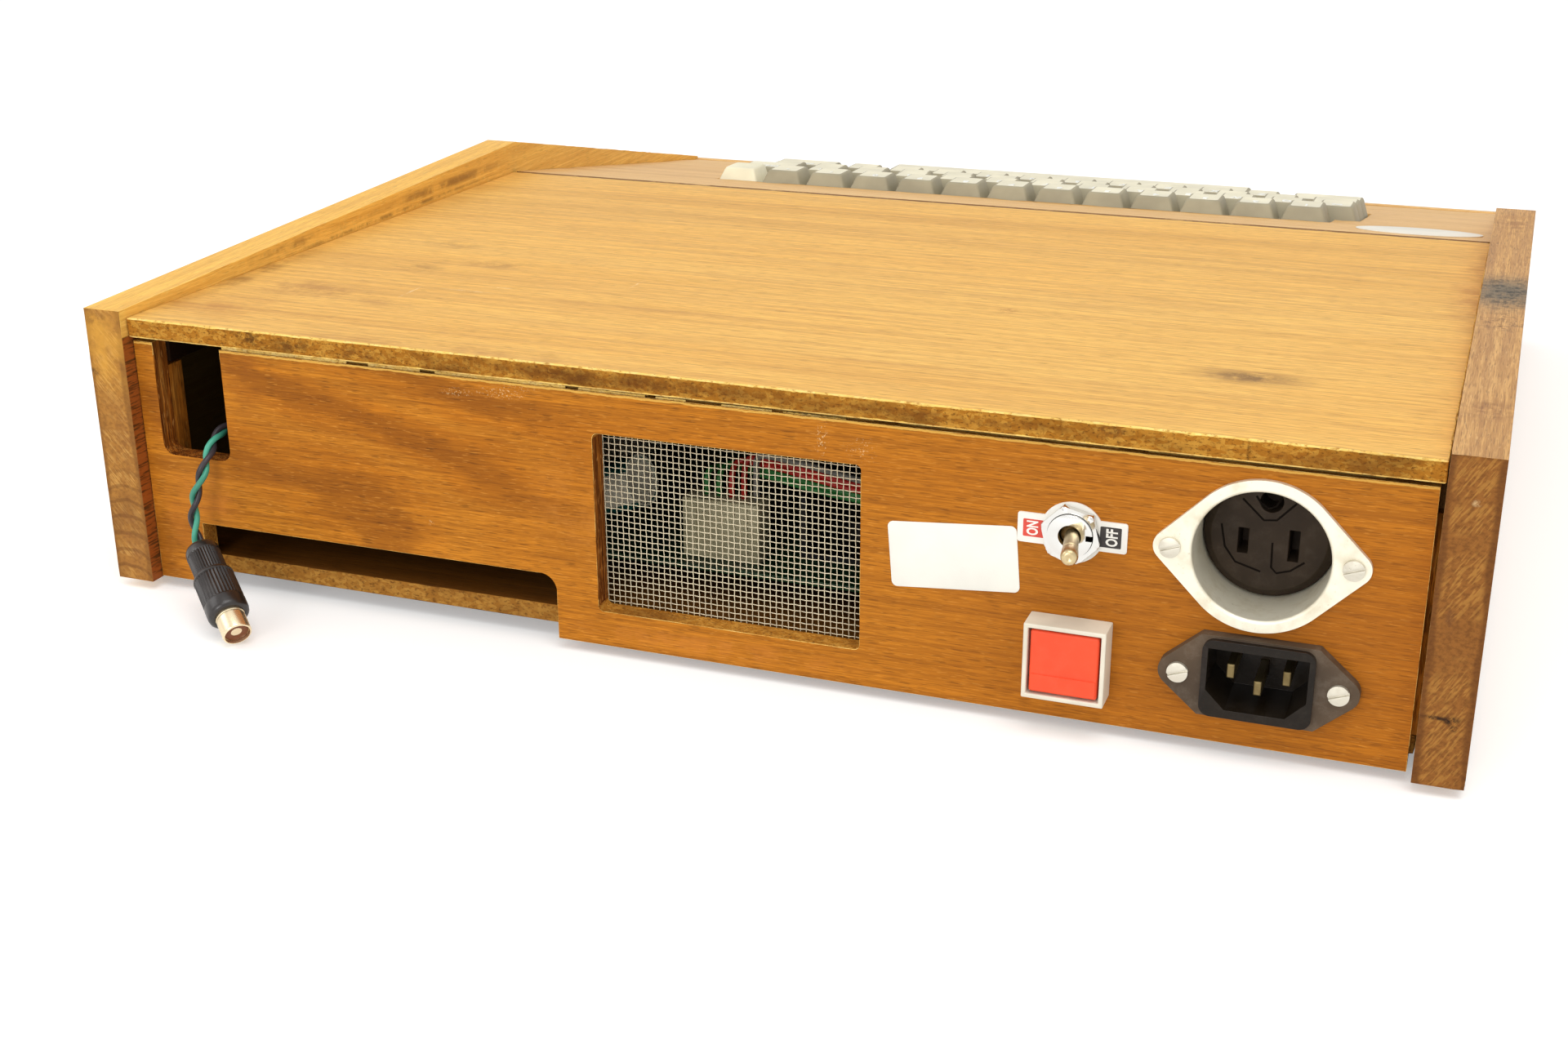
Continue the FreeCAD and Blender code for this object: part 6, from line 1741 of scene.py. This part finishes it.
@dataclass
class Keyboard:
    """Keycaps with dished tops and their legends, in the keyboard panel's own plane."""

    rear: tuple[float, float] = (-244.2, 81.6)
    front: tuple[float, float] = (-430.0, 52.8)
    pitch: float = 19.05
    left: float = 49.3
    setback: float = 45.5
    base: float = 18.0
    top_width: float = 12.7
    top_depth: float = 13.2
    stand: float = 5.8
    sunk: float = 2.0
    dish: float = 0.55
    tilt: float = 0.13
    corner: float = 1.1
    wall: float = 1.3
    stem: float = 5.0
    stem_end: float = -10.2
    guide: float = 52.0
    shapes: dict[str, Shape] = field(default_factory=dict)

    def build(self) -> None:
        """Build every keycap and what carries them."""
        plane = self.plane()
        for index, row in enumerate(KEY_ROWS):
            x = self.left + row.offset * self.pitch
            y = -self.setback - (index + 0.5) * self.pitch
            for node, share, legend in row.keys:
                width = share * self.pitch
                shape = self.shapes.setdefault(node, bmesh.new())
                self.cap(shape, plane, x + width / 2, y, width, legend)
                x += width
        for node, shape in self.shapes.items():
            # Flanks get the shaded copy and tops the lit copy of the keycap colour.
            flank, top, slot = ((KEY_CREAM, KEY_CREAM, "cream_plastic") if node == "reset_key"
                                else (KEY_FLANK_SHADE, KEY_TOP_LIT, "key_plastic"))
            piece_of(node + "_caps", shape, (flank, top, LEGEND_WHITE), node, (node,))
        dressed("key_housings", "key_switches", (HOUSING_DARK,), 0.3, 1)

    def plane(self) -> Matrix:
        """The key plane: X to the right, Y up the slope, Z out, its origin at the left rear edge."""
        origin = spot(0, *self.rear)
        slope = (origin - spot(0, *self.front)).normalized()
        out = Vector((1, 0, 0)).cross(slope)
        turn = Matrix((Vector((1, 0, 0)), slope, out)).transposed().to_4x4()
        return Matrix.Translation(origin) @ turn

    def cap(self, shape: Shape, plane: Matrix, x: float, y: float, width: float,
            legend: str) -> None:
        """Add one keycap with its stem and legend.

        Args:
            shape: The node's shape.
            plane: The key plane.
            x: Centre along the row, in millimetres.
            y: Centre up the slope.
            width: Cell width.
            legend: Its letters.
        """
        place = plane @ Matrix.Translation(Vector((x, y, 0)) * MM)
        base = width - (self.pitch - self.base)
        top = base - (self.base - self.top_width)
        flat = width > 3 * self.pitch
        # Each ring: its height, its share of the way from the foot's size to the top's, and its inset.
        rings = []
        for lift, share, inset in ((-self.sunk, 0.0, 0.0), (1.0, 0.4, 0.0), (self.stand - 1.0, 0.9, 0.0),
                                   (self.stand - 0.35, 1.0, 0.1), (self.stand - 0.1, 1.0, 0.45),
                                   (self.stand, 1.0, 0.9)):
            wide = base + (top - base) * share - 2 * inset
            deep = self.base + (self.top_depth - self.base) * share - 2 * inset
            rings.append(self.ring(shape, place, wide, deep, lift, 0.0, share))
        for before, after in zip(rings, rings[1:]):
            bridge(shape, before, after)
        last = rings[-1]
        for share in (0.82, 0.6, 0.36, 0.14):
            dish = 0.0 if flat else self.dish
            ring = self.ring(shape, place, (top - 1.8) * share, (self.top_depth - 1.8) * share,
                             self.stand, dish * (1 - share * share), 1.0)
            bridge(shape, last, ring, 1)
            last = ring
        cap_ring(shape, last, 1)
        inner = self.ring(shape, place, base - 2 * self.wall, self.base - 2 * self.wall, -self.sunk, 0)
        bridge(shape, inner, rings[0])
        roof = self.ring(shape, place, top - self.wall, self.top_depth - self.wall, self.stand - 2.2, 0)
        bridge(shape, roof, inner)
        cap_ring(shape, roof)
        for offset in ((-self.guide, 0, self.guide) if flat else (0,)):
            self.add_stem(shape, place, offset)
        if legend:
            size = 4.6 if len(legend) == 1 else 2.5
            lift = self.stand - self.dish + 0.12
            letters = place @ Matrix.Translation(Vector((0, 0.6, lift)) * MM)
            letters = letters @ Matrix.Rotation(-math.atan(self.tilt), 4, "X")
            lettering(shape, legend, size, letters, 0.1, 2)

    def ring(self, shape: Shape, place: Matrix, width: float, depth: float, lift: float,
             dish: float, lean: float = 0.0) -> Ring:
        """Add a rounded ring of a cap.

        Args:
            shape: The node's shape.
            place: The cap's own plane.
            width: Ring width in millimetres.
            depth: Ring depth.
            lift: Height.
            dish: How far the ring sinks.
            lean: Share of the top's tilt that the ring takes on.

        Returns:
            The ring.
        """
        corner = min(self.corner, 0.3 * min(width, depth))
        return add_ring(shape, [place @ (Vector((x, y, lift - dish - y * lean * self.tilt)) * MM)
                                for x, y in rounded_rectangle(width, depth, corner)])

    def add_stem(self, shape: Shape, place: Matrix, offset: float) -> None:
        """Add the square stem under a cap.

        Args:
            shape: The node's shape.
            place: The cap's own plane.
            offset: Its place along the cap.
        """
        shifted = place @ Matrix.Translation(Vector((offset, 0, 0)) * MM)
        low = self.ring(shape, shifted, self.stem, self.stem, self.stem_end, 0)
        high = self.ring(shape, shifted, self.stem, self.stem, self.stand - 2.3, 0)
        loft(shape, (low, high))


@dataclass
class Inside:
    """Boards, power parts and wiring inside the case."""

    ways: int = 6
    groove: tuple[tuple[float, float], ...] = ((-0.5, -0.4), (0.5, -0.4), (0.5, 0.2), (-0.5, 0.2))
    groove_low: float = 2.0
    groove_high: float = 1.0
    can_end: Place = (-0.93, 0.13, 0.34)
    plain: tuple[tuple[str, Finish, str, float], ...] = (
        ("logic_board", CIRCUIT_GREEN, "board_green", 0.2),
        ("key_board", CIRCUIT_GREEN, "board_green", 0.2),
        ("board_standoffs", NYLON_GREY, "nylon", 0.3),
        ("board_chips", CHIP_BLACK, "black_plastic", 0.3),
        ("heat_sink", SINK_DARK, "sink_metal", 0.3),
        ("board_headers", HOUSING_DARK, "housing_plastic", 0.3),
        ("keyboard_ribbon", RIBBON_GREY, "wire_cover", 0.2),
        ("transformer_cores", CORE_IRON, "core_steel", 0.4),
        ("transformer_coils", COIL_TAPE, "coil_wrap", 0.8),
        ("button_body", BLACK_SWITCH, "black_plastic", 0.3),
        ("case_screws", SCREW_STEEL, "steel", 0.2),
        ("glide_feet", GLIDE_CREAM, "steel", 0.2),
        ("mains_wires", WIRE_FINISHES[3], "wire_cover", 0.0),
        ("seal_strips", SEAL_FOAM_AND_SHADE, "foam", 0.4),
    )

    def build(self) -> None:
        """Build and dress what is inside."""
        for node, finish, slot, width in self.plain:
            shape = softened(node, width) if width else bmesh_of(node)
            piece = piece_of(node + "_dressed", shape, (finish,), "case", (node,))
            weigh_normals(piece)
        self.capacitors()
        self.plug()
        self.harness()

    def capacitors(self) -> None:
        """Cans in a coloured sleeve with pale ends."""
        dressed("sleeved_cans", "filter_capacitors", (CAP_SLEEVE, CAP_END), 0.5, 3,
                self.can_face)

    def can_face(self, face: Face) -> int:
        """1 on the ends that look to the rear or to the left, otherwise 0."""
        lean = Vector(self.can_end).normalized()
        return 1 if face.normal.dot(lean) > 0.8 or face.normal.y > 0.8 else 0

    def plug(self) -> None:
        """Nylon housing with the grooves between its ways."""
        low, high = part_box("power_plug")
        shape = softened("power_plug", 0.4)
        step = (high.x - low.x) / self.ways
        for way in range(1, self.ways):
            x = low.x + way * step
            outline = [(x + side * MM, high.y - deep * MM) for side, deep in self.groove]
            loft(shape, [add_ring(shape, [Vector((*point, z)) for point in outline])
                         for z in (low.z + self.groove_low * MM, high.z - self.groove_high * MM)])
        piece_of("nylon_plug", shape, (NYLON_GREY,), "case", ("power_plug",))

    def harness(self) -> None:
        """Supply wires, each in its own colour."""
        shape = bmesh_of("harness_wires")
        islands = islands_of(shape)
        islands.sort(key=lambda faces: max(face.calc_center_median().z for face in faces))
        for index, faces in enumerate(islands):
            for face in faces:
                face.material_index = index % len(WIRE_FINISHES)
        piece_of("supply_wires", shape, WIRE_FINISHES, "case", ("harness_wires",))


def islands_of(shape: Shape) -> list[list[Face]]:
    """Groups of faces that hang together.

    Args:
        shape: The shape.

    Returns:
        A list of faces for each group.
    """
    left = set(shape.faces)
    groups = []
    while left:
        stack = [left.pop()]
        group = []
        while stack:
            face = stack.pop()
            group.append(face)
            for edge in face.edges:
                for other in edge.link_faces:
                    if other in left:
                        left.remove(other)
                        stack.append(other)
        groups.append(group)
    return groups


@dataclass
class VideoLead:
    """Twisted pair from the logic board to its in-line jack, in millimetres."""

    points: tuple[Place, ...] = (
        (318.0, -58.0, 21.4),
        (318.6, -52.0, 24.5),
        (323.0, -43.5, 29.5),
        (331.0, -33.5, 37.0),
        (341.0, -22.5, 45.5),
        (349.1, -13.6, 50.0),
        (351.6, -5.9, 49.4),
        (350.0, 1.7, 46.5),
        (349.4, 6.4, 41.9),
        (350.5, 9.0, 36.9),
        (352.3, 9.4, 31.6),
        (353.2, 9.5, 26.6),
        (352.6, 10.2, 22.3),
        (351.0, 11.4, 18.7),
    )
    jack_tip: Place = (325.2, 31.6, 1.4)
    wire: float = 0.88
    spread: float = 0.89
    lay: float = 15.0
    first_turn: float = 0.6
    diameter: float = 3.5

    def build(self) -> None:
        """Build the pair, the jack and its sleeve."""
        line = self.centre_line()
        pair = self.pair(line)
        body = self.jack_body()
        sleeve = self.jack_sleeve()

    def centre_line(self) -> list[Vector]:
        """Points read from the route's smooth curve."""
        curve = bpy.data.curves.new("lead_route", "CURVE")
        curve.dimensions = "3D"
        curve.resolution_u = 10
        spline = curve.splines.new("NURBS")
        spline.points.add(len(self.points) - 1)
        for point, place in zip(spline.points, self.points):
            point.co = (*spot(*place), 1.0)
        spline.order_u = 3
        spline.use_endpoint_u = True
        mesh = mesh_of(curve)
        line = [vertex.co.copy() for vertex in mesh.vertices]
        bpy.data.meshes.remove(mesh)
        return line

    def pair(self, line: list[Vector]) -> bpy.types.Object:
        """Two insulated wires twisted round the centre line.

        Args:
            line: The centre line.

        Returns:
            The pair.
        """
        shape = bmesh.new()
        strands: tuple[list[Vector], list[Vector]] = ([], [])
        travelled = 0.0
        before = line[0]
        for point, normal, side in carried(line):
            travelled += (point - before).length
            before = point
            angle = 2 * math.pi * (self.first_turn + travelled / (self.lay * MM))
            out = (normal * math.cos(angle) + side * math.sin(angle)) * (self.spread * MM)
            strands[0].append(point + out)
            strands[1].append(point - out)
        for material, strand in enumerate(strands):
            sweep(shape, strand, self.wire, 12, material)
        return piece_of("twisted_pair", shape, (LEAD_GREEN, LEAD_BLACK), "case",
                        ("video_lead",))

    def axis(self) -> tuple[Vector, Vector]:
        """Start point and direction of the jack."""
        start = spot(*self.points[-1])
        return start, (spot(*self.jack_tip) - start).normalized()

    def jack_body(self) -> bpy.types.Object:
        """Two-step moulding with a smooth collar, fluted barrels and a plain front band."""
        start, axis = self.axis()
        shape = bmesh.new()
        profile = [(0.0, 1.5), (1.3, 1.9), (1.5, 2.9), (1.9, 3.9), (2.6, 4.6), (3.6, 5.0), (5.2, 5.05),
                   (5.4, 4.9), (5.6, 5.0), (12.9, 5.0), (13.3, 4.9), (13.5, 4.8), (13.7, 5.4),
                   (14.1, 5.9), (14.7, 6.1), (15.0, 6.1), (15.2, 6.0), (24.6, 6.1),
                   (24.9, 5.95), (25.1, 6.1), (25.4, 6.15),
                   (28.4, 6.15),
                   (29.3, 5.95), (29.8, 5.5), (30.0, 5.0), (30.0, 4.4), (28.0, 4.36)]
        turn_on_lathe(shape, start, axis, profile, 144, fluted=((5.5, 13.0), (15.1, 24.7)), flute=0.36)
        return piece_of("jack_moulding", shape, (JACK_BLACK,), "case",
                        ("video_jack_body",))

    def jack_sleeve(self) -> bpy.types.Object:
        """Plated sleeve with its insulating core and pale rim."""
        start, axis = self.axis()
        shape = bmesh.new()
        sleeve = [(26.0, 3.9), (26.0, 4.3), (30.4, 4.3), (30.6, 4.12), (30.9, 4.12), (31.1, 4.3),
                  (36.5, 4.3), (36.85, 4.2), (37.0, 4.0), (37.0, 3.75), (36.1, 3.72), (35.9, 3.7)]
        turn_on_lathe(shape, start, axis, sleeve, 48)
        core = [(30.0, 3.6), (36.0, 3.6), (36.12, 3.4), (36.12, 1.9), (36.0, 1.65), (32.0, 1.6)]
        turn_on_lathe(shape, start, axis, core, 40, 1)
        return piece_of("jack_barrel", shape, (JACK_PLATE, JACK_CORE), "case",
                        ("video_jack_sleeve",))


@dataclass
class Studio:
    """Floor, soft light and the camera at the photograph's viewing angle."""

    camera_at: Place = (-8.754, 467.934, 239.713)
    yaw: float = 20.656
    pitch: float = 21.216
    roll: float = -0.276
    lens: float = 45.66
    sensor: float = 36.0
    room_light: float = 0.72
    room_white: float = 1.0
    floor_half: float = 6.0
    floor_glow: float = 0.3
    aim: Place = (0.0, 0.0, 0.05)
    lamps: tuple[tuple[str, Place, float, float], ...] = (
        ("high_lamp", (-0.5, 0.9, 1.9), 1.3, 16.0),
        ("side_lamp", (1.6, 0.9, 1.1), 1.0, 5.0),
        ("front_lamp", (0.1, 1.9, 0.5), 0.7, 8.0),
    )

    def build(self) -> None:
        """Set up the view."""
        self.camera()
        self.floor()
        self.world()
        for lamp in self.lamps:
            self.lamp(*lamp)
        bpy.context.scene.view_settings.view_transform = "Standard"

    def camera(self) -> None:
        """Camera with the fitted place and direction."""
        yaw, pitch, roll = (math.radians(angle) for angle in (self.yaw, self.pitch, self.roll))
        forward = Vector((math.sin(yaw) * math.cos(pitch), -math.cos(yaw) * math.cos(pitch),
                          -math.sin(pitch)))
        level = Vector((-math.cos(yaw), -math.sin(yaw), 0))
        upright = level.cross(forward)
        right = level * math.cos(roll) + upright * math.sin(roll)
        top = upright * math.cos(roll) - level * math.sin(roll)
        data = bpy.data.cameras.new("view")
        data.lens = self.lens
        data.sensor_width = self.sensor
        data.clip_start = 0.01
        holder = placed("view", data)
        turn = Matrix((right, top, -forward)).transposed().to_4x4()
        holder.matrix_world = Matrix.Translation(spot(*self.camera_at)) @ turn
        bpy.context.scene.camera = holder

    def floor(self) -> None:
        """Pale floor that keeps the shadow and looks white to the camera."""
        shape = bmesh.new()
        bmesh.ops.create_grid(shape, x_segments=2, y_segments=2, size=self.floor_half)
        mesh = bpy.data.meshes.new("floor")
        shape.to_mesh(mesh)
        shape.free()
        nodes = Nodes("floor_white")
        colour = nodes.mix(nodes.noise((3, 3, 3)), (236, 236, 234), (238, 238, 237))
        material = nodes.finish(colour, 0.9)
        path = nodes.tree.nodes.new("ShaderNodeLightPath")
        nodes.shader.inputs["Emission Color"].default_value = (1, 1, 1, 1)
        seen = nodes.math("MAXIMUM", path.outputs["Is Camera Ray"], path.outputs["Is Glossy Ray"])
        seen = nodes.math("MAXIMUM", seen, path.outputs["Is Transmission Ray"])
        glow = nodes.times(seen, self.floor_glow)
        nodes.tree.links.new(glow, nodes.shader.inputs["Emission Strength"])
        mesh.materials.append(material)
        floor = placed("floor", mesh)

    def world(self) -> None:
        """Soft white surroundings."""
        world = bpy.data.worlds.new("surroundings")
        world.use_nodes = True
        bpy.context.scene.world = world
        tree = world.node_tree
        back = tree.nodes["Background"]
        back.inputs["Color"].default_value = (1, 1, 1, 1)
        path = tree.nodes.new("ShaderNodeLightPath")
        seen = tree.nodes.new("ShaderNodeMath")
        seen.operation = "MAXIMUM"
        tree.links.new(path.outputs["Is Camera Ray"], seen.inputs[0])
        tree.links.new(path.outputs["Is Glossy Ray"], seen.inputs[1])
        level = tree.nodes.new("ShaderNodeMapRange")
        level.inputs["To Min"].default_value = self.room_light
        level.inputs["To Max"].default_value = self.room_white
        tree.links.new(seen.outputs[0], level.inputs["Value"])
        tree.links.new(level.outputs["Result"], back.inputs["Strength"])

    def lamp(self, name: str, at: Place, size: float, power: float) -> None:
        """Add a large soft lamp that points at the case.

        Args:
            name: Its name.
            at: Its place in metres.
            size: Its side in metres.
            power: Its power in watts.
        """
        data = bpy.data.lights.new(name, "AREA")
        data.energy = power
        data.size = size
        holder = placed(name, data)
        holder.location = at
        holder.rotation_euler = (Vector(self.aim) - Vector(at)).to_track_quat("-Z", "Y").to_euler()


def main() -> None:
    """Build the view, then every piece in order."""
    logging.basicConfig(level=logging.INFO, format="%(message)s")
    noise.seed_set(SEED)
    Studio().build()
    VideoLead().build()
    for maker in (Case(), TornLip(), MeshWindow(), Fittings(), Labels(), Keyboard(), Inside()):
        LOG.info("building %s", type(maker).__name__)
        maker.build()


if __name__ == "__main__":
    main()
